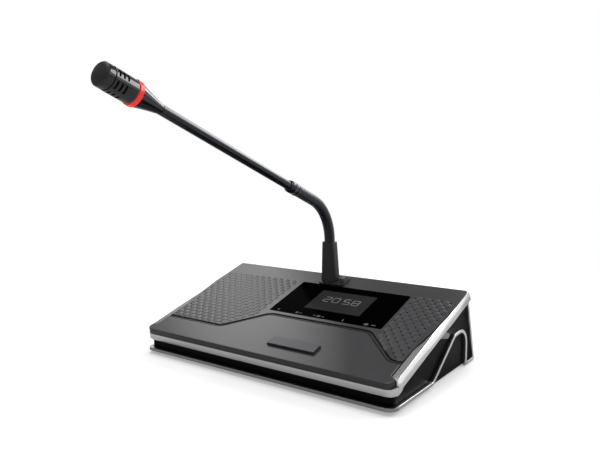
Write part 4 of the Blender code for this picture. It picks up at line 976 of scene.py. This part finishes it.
def worldRange(source, fromLow, fromHigh, toLow, toHigh):
    node = worldNodes.new("ShaderNodeMapRange")
    node.interpolation_type = "SMOOTHSTEP"
    limits = {"From Min": fromLow, "From Max": fromHigh, "To Min": toLow, "To Max": toHigh}
    for name, value in limits.items():
        node.inputs[name].default_value = value
    worldLinks.new(source, node.inputs["Value"])
    return node.outputs["Result"]


def worldMaths(kind, first, second):
    node = worldNodes.new("ShaderNodeMath")
    node.operation = kind
    for socket, value in zip(node.inputs, (first, second)):
        if isinstance(value, float):
            socket.default_value = value
        else:
            worldLinks.new(value, socket)
    return node.outputs["Value"]


behind = worldRange(parts.outputs["Y"], worldPlan["backFrom"], worldPlan["backTo"], 0.0, 1.0)
below = worldRange(parts.outputs["Z"], worldPlan["lowFrom"], worldPlan["lowTo"], 1.0, 0.0)
backdrop = worldMaths("MULTIPLY", behind, below)
mirrored = worldMaths("MAXIMUM", backdrop, worldPlan["dim"])
inMirror = worldMaths("MULTIPLY", mirrored, rays.outputs["Is Glossy Ray"])
seenWhite = worldMaths("MAXIMUM", rays.outputs["Is Camera Ray"], rays.outputs["Is Transmission Ray"])
shown = worldMaths("MAXIMUM", seenWhite, inMirror)
notGlossy = worldMaths("SUBTRACT", 1.0, rays.outputs["Is Glossy Ray"])
fill = worldMaths("MULTIPLY", notGlossy, worldPlan["fill"])
worldLinks.new(worldMaths("MAXIMUM", shown, fill), sky.inputs["Strength"])

# each softbox is aimed at the middle of the unit
lampPlans = {
    "backSoftbox": {"place": (0.36, 0.98, 0.74), "size": (1.4, 0.42), "power": 8.6},
    "topSoftbox": {"place": (-0.15, 0.05, 1.5), "size": (0.8, 0.8), "power": 10.0},
    "glowSoftbox": {"place": (-0.76, 0.55, 0.78), "size": (0.34, 0.34), "power": 1.0},
}
aimPoint = Vector((0, 0.02, 0.07))
for name, plan in lampPlans.items():
    bpy.ops.object.light_add(type="AREA", location=plan["place"])
    lamp = bpy.context.object
    lamp.name = name
    lamp.data.shape = "RECTANGLE"
    lamp.data.size, lamp.data.size_y = plan["size"]
    lamp.data.energy = plan["power"]
    aim = aimPoint - Vector(plan["place"])
    lamp.rotation_euler = aim.to_track_quat("-Z", "Y").to_euler()
    lamp.visible_camera = False

cameraPlan = {"place": (0.2588, -0.311786, 0.1444), "pitch": 6.88, "turn": 35.81, "lens": 36.75}
cameraTurns = (math.radians(90 - cameraPlan["pitch"]), 0, math.radians(cameraPlan["turn"]))
bpy.ops.object.camera_add(location=cameraPlan["place"], rotation=cameraTurns)
camera = bpy.context.object
camera.data.lens = cameraPlan["lens"]
bpy.context.scene.camera = camera
bpy.context.scene.view_settings.view_transform = "Standard"
print("stage set")
